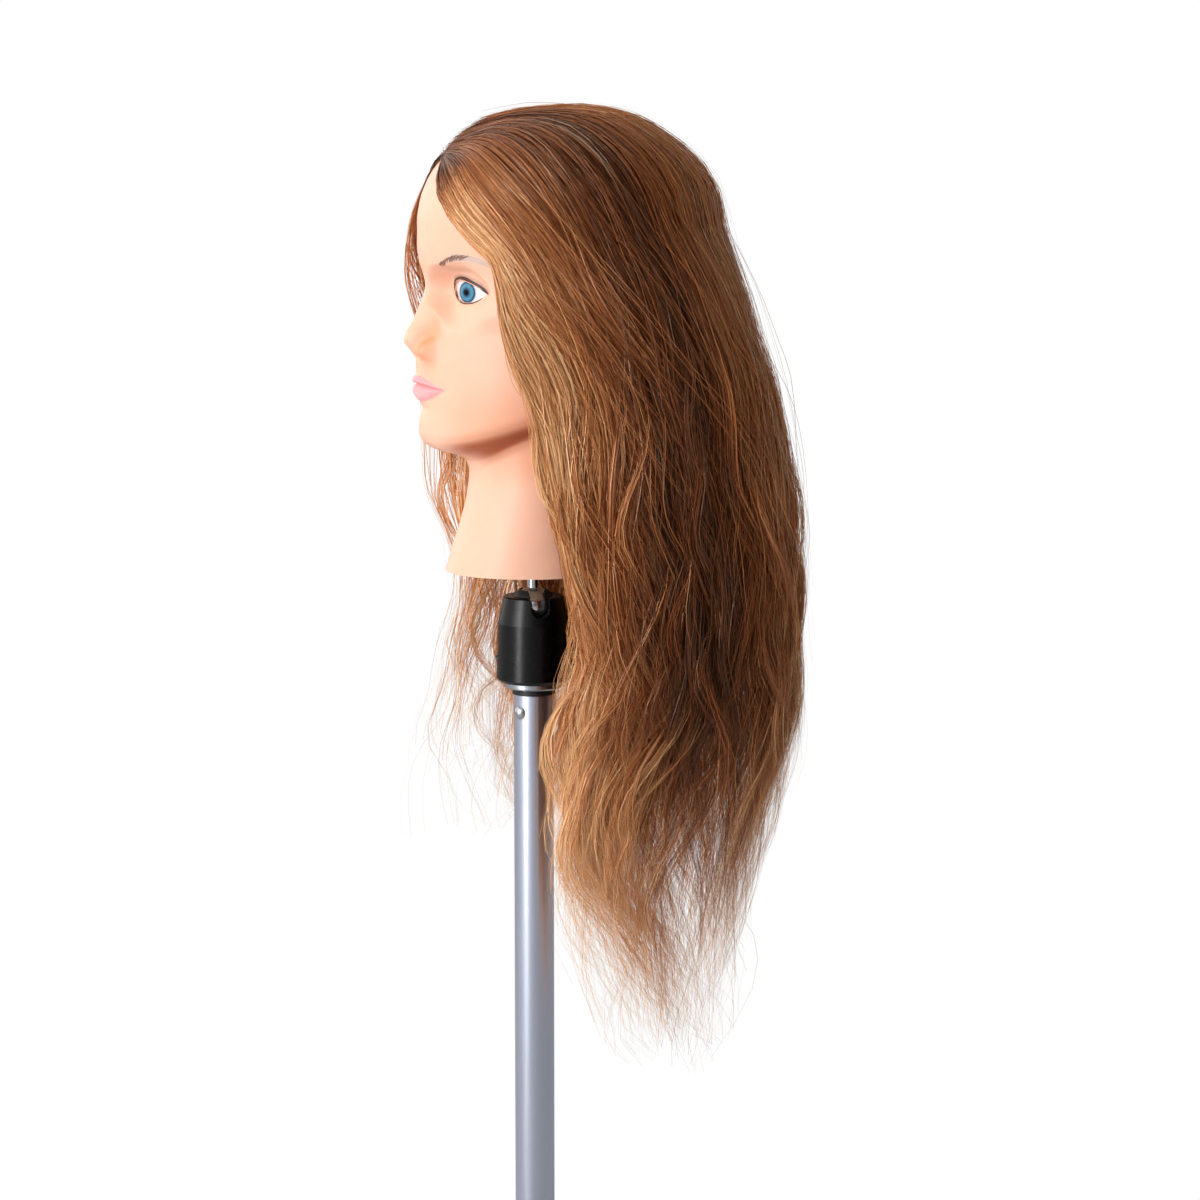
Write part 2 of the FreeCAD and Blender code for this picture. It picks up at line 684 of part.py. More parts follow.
# ---------------------------------------------------------------- hair
# Each length of hair: stations of height, middle x, middle y, half width, half depth.
LEFT_HAIR = [
    (559.5, 74, 22, 13, 48), (500, 66, 28, 17, 45), (440, 60, 36, 17, 36), (375, 56, 42, 16, 28),
    (306, 50, 40, 14, 34), (244, 44, 46, 12, 36), (194, 36, 52, 10, 30), (140, 26, 66, 7, 16),
]
RIGHT_HAIR = [
    (559.5, -74, 14, 13, 66), (500, -68, 6, 15, 66), (440, -61, 5, 15, 54), (375, -56, -2, 14, 44),
    (310, -52, -16, 13, 46), (262, -46, -26, 9, 28),
]
BACK_HAIR = [
    (559.5, 0, 108, 70, 30), (500, 0, 110, 69, 42), (440, 0, 112, 66, 48), (370, 0, 113, 62, 49),
    (300, 0, 113, 58, 49), (262, 0, 103, 50, 42), (200, 0, 90, 40, 36), (140, 0, 80, 27, 26),
    (85, 0, 66, 12, 14),
]
FRONT_HAIR = [
    (668, -17, -52, 12, 13), (648, -30, -60, 13, 12), (620, -42, -60, 13, 13), (592, -51, -54, 12, 14),
]


def strand_mass(stations, grow=0.0):
    """A closed length of hair through elliptical sections."""
    wires = []
    for height, x, y, half_width, half_depth in stations:
        points = [
            Vector(
                x + (half_width + grow) * math.cos(2 * math.pi * k / 12),
                y + (half_depth + grow) * math.sin(2 * math.pi * k / 12), height,
            )
            for k in range(12)
        ]
        curve = Part.BSplineCurve()
        curve.interpolate(Points=points, PeriodicFlag=True)
        wires.append(Part.Wire(curve.toShape()))
    return loft(wires)


def largest_solid(shape):
    return max(shape.Solids, key=lambda s: s.Volume)


def make_hair_crown():
    """The hair over the scalp, from the hairline back."""
    shell = head_form(size("crown_thickness"))
    head = head_form(size("hair_gap"))
    below = Part.makeBox(400, 400, size("crown_hem") - 300, Vector(-200, -200, 300))
    face_side = Part.makeBox(400, 200, 400, Vector(-200, -200, -200))
    face_side.rotate(Vector(), Vector(1, 0, 0), math.degrees(math.atan2(45, 152)))
    face_side.translate(Vector(0, -60, 676))
    return curved("hair_crown", largest_solid(shell.cut([head, below, face_side])))


def lengths_keepout():
    head = head_form(size("hair_gap")).fuse(nose_form())
    pole = Part.makeCylinder(size("pole_clearance"), 420, Vector(0, 0, 0))
    knob = Part.makeBox(40, 60, 44, Vector(-20, 0, size("screw_level") - 22))
    return [head, pole, knob]


def make_hair_lengths():
    keepout = lengths_keepout()
    left = largest_solid(strand_mass(LEFT_HAIR).cut(keepout))
    right = largest_solid(strand_mass(RIGHT_HAIR).cut(keepout))
    sides = [strand_mass(LEFT_HAIR, 0.8), strand_mass(RIGHT_HAIR, 0.8)]
    back = largest_solid(strand_mass(BACK_HAIR).cut(keepout + sides))
    front = strand_mass(FRONT_HAIR).cut([keepout[0], doc.getObject("hair_crown").Shape])
    return [
        curved("hair_left", left), curved("hair_right", right), curved("hair_back", back),
        curved("hair_front", largest_solid(front)),
    ]


# ---------------------------------------------------------------- assembly
parts = [
    make_tube(), make_bush(), make_flange_ring(), make_spigot(), make_spigot_washer(),
    make_retaining_ring(), make_snap_button(), make_snap_spring(),
    make_socket_housing(), make_ball_liner(), make_brake_pad(), make_guide_screw(),
    make_lock_tip(), make_lock_screw(), make_lock_knob(), make_ball_stem(),
    make_head_skin(), make_foam_core(), make_neck_plate(), make_neck_insert(), make_stem_nut(),
    make_neck_screws(), make_eye("eye_left", 1), make_eye("eye_right", -1),
    make_hair_crown(),
]
parts += make_hair_lengths()
doc.recompute()

for obj in doc.Objects:
    if "Invalid" in obj.State or "Error" in obj.State:
        raise SystemExit(f"{obj.Label} failed: {obj.State}")
for part in parts:
    shape = part.Shape
    if shape.isNull() or not shape.isValid():
        raise SystemExit(f"{part.Label} has no valid shape")
for part in parts:
    part.Shape.exportStep(f"parts/{part.Label}.step")
    print(f"{part.Label}: {part.Shape.Volume / 1000:.2f} cm3, {len(part.Shape.Solids)} solid(s)")
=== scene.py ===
"""Looks for the practice head: the vinyl head and eyes, the rooted hair, and the finishes of the clamp and tube."""
import json
import math

import bpy
import numpy as np
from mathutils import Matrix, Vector
from mathutils.bvhtree import BVHTree


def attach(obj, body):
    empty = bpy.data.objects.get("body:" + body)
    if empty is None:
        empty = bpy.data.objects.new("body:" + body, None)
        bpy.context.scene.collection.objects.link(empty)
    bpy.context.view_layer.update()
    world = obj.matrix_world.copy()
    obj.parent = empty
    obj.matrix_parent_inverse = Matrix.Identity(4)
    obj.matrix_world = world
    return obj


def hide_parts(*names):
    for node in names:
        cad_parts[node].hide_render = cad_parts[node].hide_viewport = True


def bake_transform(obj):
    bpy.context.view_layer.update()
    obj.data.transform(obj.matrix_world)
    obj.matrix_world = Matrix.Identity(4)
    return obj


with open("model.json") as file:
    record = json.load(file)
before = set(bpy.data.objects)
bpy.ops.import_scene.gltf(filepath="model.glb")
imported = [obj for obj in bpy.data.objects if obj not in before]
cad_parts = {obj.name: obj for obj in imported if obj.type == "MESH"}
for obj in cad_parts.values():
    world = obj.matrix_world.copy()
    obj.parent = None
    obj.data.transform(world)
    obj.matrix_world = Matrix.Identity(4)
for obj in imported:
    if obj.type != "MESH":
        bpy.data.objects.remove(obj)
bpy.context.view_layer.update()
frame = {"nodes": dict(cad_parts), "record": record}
MM = 0.001
rng = np.random.default_rng(7)


# ---------------------------------------------------------------- small tools

def smooth(low, high, value):
    """0 at 'low', 1 at 'high', easing in and out between them."""
    t = np.clip((value - low) / (high - low), 0, 1)
    return t * t * (3 - 2 * t)


def bell(value, width):
    """1 at 0, a half at +-width."""
    return np.exp(-math.log(2) * (value / width) ** 2)


def line(*rows):
    """A smooth line through rows of (position, value, value, ...), with no overshoot."""
    rows = np.array(rows, float)
    at, values = rows[:, 0], rows[:, 1:]
    rise = np.diff(values, axis=0) / np.diff(at)[:, None]
    slope = np.zeros_like(values)
    slope[0], slope[-1] = rise[0], rise[-1]
    both = rise[1:] * rise[:-1]
    total = np.where(np.abs(rise[1:] + rise[:-1]) < 1e-9, 1, rise[1:] + rise[:-1])
    slope[1:-1] = np.where(both > 0, 2 * both / total, 0)

    def value_at(where):
        where = np.clip(np.asarray(where, float), at[0], at[-1])
        k = np.clip(np.searchsorted(at, where, side="right") - 1, 0, len(at) - 2)
        step = at[k + 1] - at[k]
        t = ((where - at[k]) / step)[..., None]
        step = step[..., None]
        found = (
            (2 * t**3 - 3 * t**2 + 1) * values[k] + (t**3 - 2 * t**2 + t) * step * slope[k]
            + (3 * t**2 - 2 * t**3) * values[k + 1] + (t**3 - t**2) * step * slope[k + 1]
        )
        return found[..., 0] if found.shape[-1] == 1 else found

    return value_at


def srgb(red, green, blue):
    """Linear colour of an 0-255 screen colour."""
    return tuple(
        c / 12.92 if c <= 0.04045 else ((c + 0.055) / 1.055) ** 2.4
        for c in (red / 255, green / 255, blue / 255)
    )


def add_mesh(name, points, faces, materials, slots=None):
    """A smooth-shaded mesh object from points in millimetres."""
    mesh = bpy.data.meshes.new(name)
    faces = np.asarray(faces, np.int32)
    corners = faces.shape[1]
    mesh.vertices.add(len(points))
    mesh.vertices.foreach_set("co", (np.asarray(points, np.float32) * MM).ravel())
    mesh.loops.add(faces.size)
    mesh.loops.foreach_set("vertex_index", faces.ravel())
    mesh.polygons.add(len(faces))
    mesh.polygons.foreach_set("loop_start", np.arange(0, faces.size, corners, dtype=np.int32))
    mesh.polygons.foreach_set("loop_total", np.full(len(faces), corners, np.int32))
    for material in materials:
        mesh.materials.append(material)
    if slots is not None:
        mesh.polygons.foreach_set("material_index", np.asarray(slots, np.int32))
    mesh.polygons.foreach_set("use_smooth", np.ones(len(faces), bool))
    mesh.update(calc_edges=True)
    mesh.validate()
    obj = bpy.data.objects.new(name, mesh)
    bpy.context.scene.collection.objects.link(obj)
    return obj


# ---------------------------------------------------------------- materials

SOCKETS = ("Subsurface Weight", "Subsurface Scale", "Specular IOR Level", "Specular Tint")


def material(name, colour, rough, metallic=0.0, **more):
    """A material whose colour, roughness or small relief varies by noise where 'more' says so."""
    made = bpy.data.materials.new(name)
    made.use_nodes = True
    nodes, links = made.node_tree.nodes, made.node_tree.links
    shader = nodes["Principled BSDF"]
    shader.inputs["Base Color"].default_value = (*colour, 1)
    shader.inputs["Roughness"].default_value = rough
    shader.inputs["Metallic"].default_value = metallic
    for socket in SOCKETS:
        if socket in more:
            shader.inputs[socket].default_value = more[socket]
    if "Subsurface Weight" in more:
        shader.inputs["Subsurface Radius"].default_value = (1.0, 0.45, 0.25)
    place = nodes.new("ShaderNodeTexCoord")
    stretch = nodes.new("ShaderNodeMapping")
    stretch.inputs["Scale"].default_value = more.get("stretch", (1, 1, 1))
    links.new(place.outputs["Object"], stretch.inputs["Vector"])

    def noise(scale, detail=4.0):
        made_noise = nodes.new("ShaderNodeTexNoise")
        made_noise.inputs["Scale"].default_value = scale
        made_noise.inputs["Detail"].default_value = detail
        links.new(stretch.outputs["Vector"], made_noise.inputs["Vector"])
        return made_noise.outputs["Fac"]

    if "bump" in more:
        scale, height = more["bump"]
        bump = nodes.new("ShaderNodeBump")
        bump.inputs["Strength"].default_value = 1.0
        bump.inputs["Distance"].default_value = height * MM
        links.new(noise(scale), bump.inputs["Height"])
        links.new(bump.outputs["Normal"], shader.inputs["Normal"])
    if "rough_range" in more:
        scale, low, high = more["rough_range"]
        ramp = nodes.new("ShaderNodeMapRange")
        ramp.inputs["From Min"].default_value = 0.3
        ramp.inputs["From Max"].default_value = 0.7
        ramp.inputs["To Min"].default_value = low
        ramp.inputs["To Max"].default_value = high
        links.new(noise(scale), ramp.inputs["Value"])
        links.new(ramp.outputs["Result"], shader.inputs["Roughness"])
    if "mottle" in more:
        scale, other = more["mottle"]
        mixed = nodes.new("ShaderNodeMix")
        mixed.data_type = "RGBA"
        mixed.inputs["A"].default_value = (*colour, 1)
        mixed.inputs["B"].default_value = (*other, 1)
        links.new(noise(scale), mixed.inputs["Factor"])
        links.new(mixed.outputs["Result"], shader.inputs["Base Color"])
    if "paint" in more:
        paint = nodes.new("ShaderNodeVertexColor")
        paint.layer_name = more["paint"]
        tint = nodes.new("ShaderNodeMix")
        tint.data_type = "RGBA"
        tint.blend_type = "MULTIPLY"
        tint.inputs["Factor"].default_value = 1.0
        tone = nodes.new("ShaderNodeMapRange")
        tone.inputs["To Min"].default_value = 0.94
        tone.inputs["To Max"].default_value = 1.04
        links.new(noise(60.0, 3.0), tone.inputs["Value"])
        links.new(paint.outputs["Color"], tint.inputs["A"])
        links.new(tone.outputs["Result"], tint.inputs["B"])
        links.new(tint.outputs["Result"], shader.inputs["Base Color"])
    return made


STEEL = dict(stretch=(1, 1, 8), bump=(900.0, 0.02), rough_range=(400.0, 0.22, 0.36))
FINISHES = {
    "tube_metal": material(
        "satin_aluminium", srgb(208, 213, 230), 0.3, 1.0,
        stretch=(1, 1, 0.04), bump=(1400.0, 0.0006), rough_range=(500.0, 0.33, 0.38),
    ),
    "ring_metal": material(
        "turned_aluminium", srgb(190, 195, 203), 0.32, 1.0,
        stretch=(1, 1, 14), bump=(500.0, 0.01), rough_range=(700.0, 0.26, 0.38),
    ),
    "bright_metal": material(
        "bright_steel", srgb(200, 202, 206), 0.2, 1.0, bump=(900.0, 0.01), rough_range=(300.0, 0.14, 0.26)
    ),
    "spring_steel": material("spring_steel", srgb(120, 122, 128), 0.3, 1.0, **STEEL),
    "steel": material("zinc_plated_steel", srgb(176, 176, 172), 0.3, 1.0, **STEEL),
    "chrome": material(
        "chrome_plate", srgb(225, 227, 230), 0.08, 1.0, bump=(250.0, 0.01), rough_range=(200.0, 0.05, 0.12)
    ),
    "brass": material(
        "brass", srgb(205, 165, 90), 0.3, 1.0, bump=(700.0, 0.02), mottle=(200.0, srgb(180, 138, 70))
    ),
    "black_enamel": material(
        "black_enamel", srgb(4, 4, 5), 0.3, 0.0,
        **{"Specular IOR Level": 0.3}, bump=(420.0, 0.012), rough_range=(260.0, 0.26, 0.34),
    ),
    "black_plastic": material(
        "black_plastic", srgb(20, 20, 21), 0.42, 0.0, bump=(1500.0, 0.03), rough_range=(300.0, 0.38, 0.5)
    ),
    "liner_plastic": material(
        "liner_nylon", srgb(26, 26, 27), 0.5, 0.0, bump=(900.0, 0.02), rough_range=(300.0, 0.42, 0.55)
    ),
    "pad_plastic": material(
        "pad_nylon", srgb(200, 196, 182), 0.5, 0.0, bump=(900.0, 0.03), mottle=(120.0, srgb(186, 180, 164))
    ),
    "plate_plastic": material(
        "plate_abs", srgb(222, 190, 160), 0.5, 0.0, bump=(700.0, 0.03), mottle=(90.0, srgb(212, 178, 148))
    ),
    "foam": material(
        "rigid_foam", srgb(226, 205, 160), 0.9, 0.0, bump=(600.0, 0.5), mottle=(350.0, srgb(205, 180, 130))
    ),
}
node_slot = {part["node"]: part["material_slot"] for part in frame["record"]["subparts"]}
for node, obj in frame["nodes"].items():
    finish = FINISHES.get(node_slot[node])
    if finish:
        obj.data.materials.clear()
        obj.data.materials.append(finish)
        obj.data.polygons.foreach_set("material_index", np.zeros(len(obj.data.polygons), np.int32))

# The snap spring is copied as a mesh of its own, and the original is hidden.
spring_node = frame["nodes"]["snap_spring"]
spring = bpy.data.objects.new("pressed_spring", spring_node.data.copy())
spring.matrix_world = spring_node.matrix_world.copy()
bpy.context.scene.collection.objects.link(spring)
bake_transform(spring)
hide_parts("snap_spring")


# ---------------------------------------------------------------- the head's form, in millimetres

# height, front without nose and lips, back, half width, middle, squareness
HEAD = line(
    (420, -55, 50, 50, 0, 2), (432, -51.5, 50, 48.5, 0, 2), (450, -45.5, 51.5, 46.5, 2, 2),
    (468, -41, 55, 46, 5, 2), (482, -39.5, 60, 47, 7, 2), (489, -42, 66, 49, 9, 2),
    (493, -48.5, 70, 51, 11, 2), (495.2, -55.5, 74, 53, 13, 2), (498, -60.5, 77, 55.5, 15, 2),
    (502, -64.5, 80, 58, 17, 1.95), (508, -66.8, 83, 60.5, 20, 1.9), (520, -67, 88, 63.5, 22, 1.82),
    (540, -66.5, 94, 66.5, 22, 1.8), (556, -66, 98, 68.8, 22, 1.8), (575, -64.5, 103, 71, 22, 1.82),
    (594, -64.5, 108, 73, 22, 1.84), (606, -67, 111, 73.6, 22, 1.86), (612, -69.3, 112, 73.8, 22, 1.87),
    (622, -71, 113, 74.2, 22, 1.92), (635, -71, 113.5, 74.5, 22, 2.02), (648, -69, 111, 73.5, 22, 2.12),
    (660, -64.5, 105.5, 70, 22, 2.2), (672, -57.5, 95.5, 65, 23, 2.15), (685, -45, 79, 54, 22, 2.1),
    (695, -27, 62, 38, 22, 2), (700, -8, 48, 20, 22, 2), (701.5, 6, 38, 10, 22, 2),
)
# How far the jaw line rises towards the ears, by height.
JAW_RISE = line((420, 0), (440, 1), (470, 12), (490, 18), (505, 17.5), (540, 9), (585, 0), (702, 0))
# height, how far chin and mouth stand out of the plain form, how wide they are
MUZZLE = line(
    (490, 0, 16), (493, 0.6, 16), (495.5, 2.6, 16), (498.5, 4.6, 16), (503, 5.2, 15), (508, 4.9, 14.5),
    (514, 4.5, 14), (521, 3.5, 13.5), (527, 4.6, 13.5), (533, 5.8, 13.5), (541, 6.8, 13.5), (548, 7.2, 13),
    (553, 5.8, 14), (560, 3.2, 12), (567, 1.2, 11), (577, 0, 11),
)
# height, how far the nose stands out, its half width
NOSE = line(
    (547, 0, 6), (551, 0.8, 7), (553.5, 2.2, 8), (556.5, 5.6, 8.4), (559.5, 9.2, 8.6),
    (562, 12.2, 8.6), (565, 14.0, 8.4), (568, 14.0, 8.6), (573, 11.9, 8.6), (580, 8.9, 8.4),
    (588, 5.3, 8.2), (595, 2.9, 8.4), (600, 2.0, 9.4), (607, 1.7, 13), (614, 1.0, 17),
    (624, 0.4, 20), (636, 0, 20),
)
# The left eye's ball, and the round that its lids follow.
EYE = np.array([17.1, -26.8, 594.4])
EYE_RADIUS, LID_RADIUS = 24.0, 25.2
# Heights of the lids' edges, and of the lips' edges and slit, by the distance from the middle of the face.
LID_TOP = line(
    (15, 595.3), (15.6, 597.2), (17, 599.4), (19.5, 600.7), (22.5, 601.3), (26, 601.3),
    (30, 600.6), (34, 599.1), (37.5, 597.0), (40, 593.7),
)
LID_BOTTOM = line(
    (15, 595.3), (15.6, 594), (17.5, 591.9), (20.5, 589.8), (24, 588.3), (28, 587.7),
    (32, 588), (36, 589.5), (38.5, 591.6), (40, 593.7),
)
# The middle of the lids' rounded form, and that of the opening, with its half width.
LIDS_MIDDLE = (27.3, 594.6)
OPENING_MIDDLE, OPENING_HALF = 27.5, 12.5
MOUTH_HALF = 21.5
LIP_TOP = line((0, 541.9), (2, 542.2), (4.5, 542.8), (8, 541.6), (14, 538.7), (19, 535.8), (21.5, 534.4))
LIP_SLIT = line((0, 537.1), (3, 537.3), (8, 536.7), (15, 535.4), (21.5, 534.4))
LIP_BOTTOM = line((0, 526.6), (5, 526.7), (10, 527.6), (15, 529.7), (19, 532.2), (21.5, 534.4))


def plain_head(row, angle):
    """Points on the head without its features, at a row height and an angle from the face round to +X."""
    front, back, half, middle, power = np.moveaxis(HEAD(row), -1, 0)
    depth = np.where(np.cos(angle) > 0, middle - front, back - middle)
    reach = (np.abs(np.cos(angle) / depth) ** power + np.abs(np.sin(angle) / half) ** power) ** (-1 / power)
    rise = JAW_RISE(row) * smooth(math.radians(10), math.radians(80), np.abs(angle))
    return reach * np.sin(angle), middle - reach * np.cos(angle), row + rise


def relief(x, z):
    """How far the chin, mouth and nose stand out of the plain form."""
    side = np.abs(x)
    out, width = np.moveaxis(MUZZLE(z), -1, 0)
    total = out * bell(side, width)
    height, nose_width = np.moveaxis(NOSE(z), -1, 0)
    nose = height * np.exp(-math.log(2) * (side / nose_width) ** 2.5)
    wing = 8.0 * np.exp(-(np.abs((side - 10.8) / 5.9) ** 2.6) - np.abs((z - 559.4) / 6.6) ** 2.6)
    sharp = 1.6
    total = total + sharp * np.log(np.exp(nose / sharp) + np.exp(wing / sharp) - 1)
    total = total - 0.4 * bell(side - 8.6, 1.8) * bell(z - 563.5, 3.0)
    total = total - 3.4 * np.exp(-(((side - 6.3) / 2.7) ** 2) - ((z - 553.8) / 2.0) ** 2)
    total = total - 0.7 * bell(side, 1.7) * smooth(543, 545, z) * (1 - smooth(549, 553, z))
    top, slit, bottom = LIP_TOP(side), LIP_SLIT(side), LIP_BOTTOM(side)
    across = np.clip(1 - (side / (MOUTH_HALF + 1.5)) ** 2, 0, 1)
    above = np.clip((z - slit) / np.maximum(top - slit, 0.3), 0, 1.6)
    below = np.clip((slit - z) / np.maximum(slit - bottom, 0.3), 0, 1.6)
    total = total + 2.7 * across * np.where(z > slit, np.sin(np.pi * np.clip(above, 0, 1) ** 0.75) ** 0.8, 0)
    total = total + 3.1 * across * np.where(z <= slit, np.sin(np.pi * np.clip(below, 0, 1) ** 0.8) ** 0.8, 0)
    total = total - 1.3 * across * bell(z - slit, 0.75)
    total = total - 1.0 * bell(side - 22.5, 2.2) * bell(z - 534.2, 2.4)
    return total - 1.3 * bell(side, 9) * bell(z - 522, 2.6)


def on_ball(x, z, radius):
    """The front of the round about the left eye, at x and z."""
    return EYE[1] - np.sqrt(radius**2 - (x - EYE[0]) ** 2 - (z - EYE[2]) ** 2)


def head_point(row, angle):
    """The face, scalp or neck at a row height and an angle, with the lids drawn onto the eyeballs."""
    x, y, z = plain_head(row, angle)
    ahead = smooth(0.1, 0.4, np.cos(angle))
    y = y - relief(x, z) * ahead
    side = np.abs(x)
    from_middle, above = side - LIDS_MIDDLE[0], z - LIDS_MIDDLE[1]
    around = np.hypot(from_middle / 14.6, above / np.where(above > 0, 10.2, 9.2))
    held = np.minimum(1, 0.9 / np.maximum(around, 1e-6))
    lid = on_ball(LIDS_MIDDLE[0] + from_middle * held, LIDS_MIDDLE[1] + above * held, LID_RADIUS)
    outer = 1.8 + 1.1 * smooth(2, 16, -above) * smooth(10, 24, side) + 0.5 * smooth(26, 40, side)
    fade = np.clip((around - 0.95) / (outer - 0.95), 0, 1)
    socket = 1 - fade**3 * (10 - 15 * fade + 6 * fade**2)
    y = y + (lid - y) * socket * ahead
    crease = bell(z - LID_TOP(np.clip(side, 15, 40)) - 2.7, 0.5) * smooth(14, 18, side) * (1 - smooth(36, 41, side))
    return x, y + 0.35 * crease * ahead, z


def spaced(*spans):
    """Values over consecutive spans of (start, step), the last one being only an end."""
    steps = [np.arange(a, b, s * np.sign(b - a)) for (a, s), (b, _) in zip(spans, spans[1:])]
    return np.concatenate([*steps, [spans[-1][0]]])


rows = spaced((420, 2.0), (484, 1.0), (490, 0.6), (498, 0.68), (626, 1.6), (668, 2.2), (694, 1.2), (701.5, 0))
half_turn = np.radians(spaced((0, 0.5), (32, 0.75), (44, 1.6), (80, 3.2), (176, 0)))
turn = np.concatenate([-half_turn[:0:-1], half_turn, [math.pi]])
grid_row, grid_turn = np.meshgrid(rows, turn, indexing="ij")
hx, hy, hz = head_point(grid_row, grid_turn)
count_rows, count_turns = grid_row.shape
points = np.stack([hx, hy, hz], -1).reshape(-1, 3)
index = np.arange(len(points)).reshape(count_rows, count_turns)
nxt = np.roll(index, -1, axis=1)
quads = np.stack([index[:-1], nxt[:-1], nxt[1:], index[1:]], -1).reshape(-1, 4)

# The almond openings: faces inside go, and the points beside the edge move onto it.
edge_x = OPENING_MIDDLE - OPENING_HALF * np.cos(np.linspace(0, math.pi, 90))
almond = np.concatenate([
    np.stack([edge_x, LID_TOP(edge_x)], -1),
    np.stack([edge_x, LID_BOTTOM(edge_x)], -1)[-2:0:-1],
])
side = np.abs(points[:, 0])
opened = (points[:, 1] < 0) & (side > 15) & (side < 40)
opened &= (points[:, 2] < LID_TOP(side)) & (points[:, 2] > LID_BOTTOM(side))
quads = quads[~opened[quads].all(axis=1)]
moved = np.zeros(len(points), bool)
moved[quads[opened[quads].any(axis=1)].ravel()] = True
moved &= opened
lid_edge = points[moved]
gap = np.hypot(np.abs(lid_edge[:, 0])[:, None] - almond[:, 0], lid_edge[:, 2][:, None] - almond[:, 1])
best = almond[gap.argmin(axis=1)]
hands = np.sign(lid_edge[:, 0])
points[moved] = np.stack([hands * best[:, 0], on_ball(best[:, 0], best[:, 1], LID_RADIUS), best[:, 1]], -1)

# The lids turn in over the eyes along the opened edges.
edges = np.sort(np.concatenate([quads[:, [k, (k + 1) % 4]] for k in range(4)]), axis=1)
single, times = np.unique(edges, axis=0, return_counts=True)
rim = single[(times == 1) & moved[single].all(axis=1)]
rim_points = np.unique(rim)
rim_index = {p: k for k, p in enumerate(rim_points)}
edge_points = points[rim_points]
hands = np.sign(edge_points[:, 0])


def unit(ways):
    """The same directions, one long."""
    return ways / np.linalg.norm(ways, axis=1)[:, None]


ball_middle = np.stack([hands * EYE[0], np.full(len(hands), EYE[1]), np.full(len(hands), EYE[2])], -1)
opening_middle = np.stack([hands * OPENING_MIDDLE, edge_points[:, 1], np.full(len(hands), EYE[2])], -1)
radial, to_middle = unit(edge_points - ball_middle), unit(opening_middle - edge_points)
# each ring's way back into the head and its way towards the middle of the opening
LID_RINGS = ((0.25, 0.18), (0.6, 0.25), (2.4, 0.2))
rings = [edge_points - radial * back + to_middle * closer for back, closer in LID_RINGS]
first = len(points)
points = np.concatenate([points, *rings])
walls = []
for step in range(len(rings)):
    outer_ring = first + (step - 1) * len(rim_points)
    inner_ring = first + step * len(rim_points)
    for a, b in rim:
        a0, b0 = (a, b) if step == 0 else (outer_ring + rim_index[a], outer_ring + rim_index[b])
        walls.append((a0, b0, inner_ring + rim_index[b], inner_ring + rim_index[a]))
quads = np.concatenate([quads, walls])

SKIN = material(
    "vinyl_skin", srgb(250, 205, 168), 0.42, 0.0, paint="paint", bump=(900.0, 0.02),
    **{"Subsurface Weight": 0.12, "Subsurface Scale": 0.006, "Specular IOR Level": 0.35},
)
head = add_mesh("vinyl_head", points, quads, [SKIN])


def head_colour_and_shade(p, facing_up):
    """Colour of the moulded and sprayed vinyl at each point, with painted shade on the jaw, nose, eye sockets,
    nostrils and lip slit and a painted highlight on the lower lip; 'facing_up' is the upward part of its normal.
    """
    side, y, z = np.abs(p[:, 0]), p[:, 1], p[:, 2]
    colour = np.tile(np.array(srgb(252, 196, 168)), (len(p), 1))

    # lays a colour over the vinyl by an amount: real paint on the lips, painted shade and a painted highlight
    # elsewhere
    def spray_or_shade(other, amount):
        colour[:] += (np.array(srgb(*other)) - colour) * amount[:, None]

    front = (y < 0).astype(float)
    # painted shade on the sides of the lower face, along the jaw
    spray_or_shade((238, 158, 116), 0.5 * smooth(18, 42, side) * smooth(548, 515, z) * smooth(470, 490, z) * smooth(40, 0, y))
    # painted shade on the side of the nose
    spray_or_shade((248, 152, 98), 0.75 * front * bell(side - 12, 4.5) * bell(z - 565, 13))
    # painted shade in the inner eye socket
    spray_or_shade((248, 164, 118), 0.3 * front * bell(side - 12.5, 4) * bell(z - 597, 8))
    # painted shade in the nostrils
    spray_or_shade((226, 120, 84), 0.85 * front * np.exp(-(((side - 6.3) / 2.4) ** 2) - ((z - 553.6) / 1.9) ** 2))
    # painted shade under the jaw, where the surface faces down
    painted_jaw_shade = smooth(0.1, 0.75, -facing_up) * smooth(455, 480, z) * smooth(545, 520, z) * smooth(12, 34, side)
    spray_or_shade((184, 88, 46), 0.9 * painted_jaw_shade)
    inside_x = np.clip(side, 0, MOUTH_HALF)
    top, bottom, slit = LIP_TOP(inside_x), LIP_BOTTOM(inside_x), LIP_SLIT(inside_x)
    lips = front * (1 - smooth(21.2, 22.0, side)) * smooth(0.35, -0.35, np.maximum(z - top, bottom - z))
    spray_or_shade((248, 172, 174), lips)
    # painted highlight on the lower lip
    spray_or_shade((254, 205, 204), lips * 0.6 * bell(z - 530.8, 1.7) * bell(side - 5, 6))
    # painted shade along the slit between the lips
    spray_or_shade((216, 112, 108), lips * 0.7 * bell(z - slit, 0.5))
    return colour


def lay_paint(obj, colours):
    """A colour for each point of a mesh, in its 'paint' layer."""
    layer = obj.data.color_attributes.new("paint", "FLOAT_COLOR", "POINT")
    filled = np.concatenate([colours, np.ones((len(colours), 1))], axis=1)
    layer.data.foreach_set("color", filled.astype(np.float32).ravel())


head_points = np.array([v.co for v in head.data.vertices]) / MM
lay_paint(head, head_colour_and_shade(head_points, np.array([v.normal.z for v in head.data.vertices])))
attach(head, "head")
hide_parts("head_skin", "foam_core")
skin_tree = BVHTree.FromPolygons([tuple(p) for p in points], [tuple(q) for q in quads.tolist()])


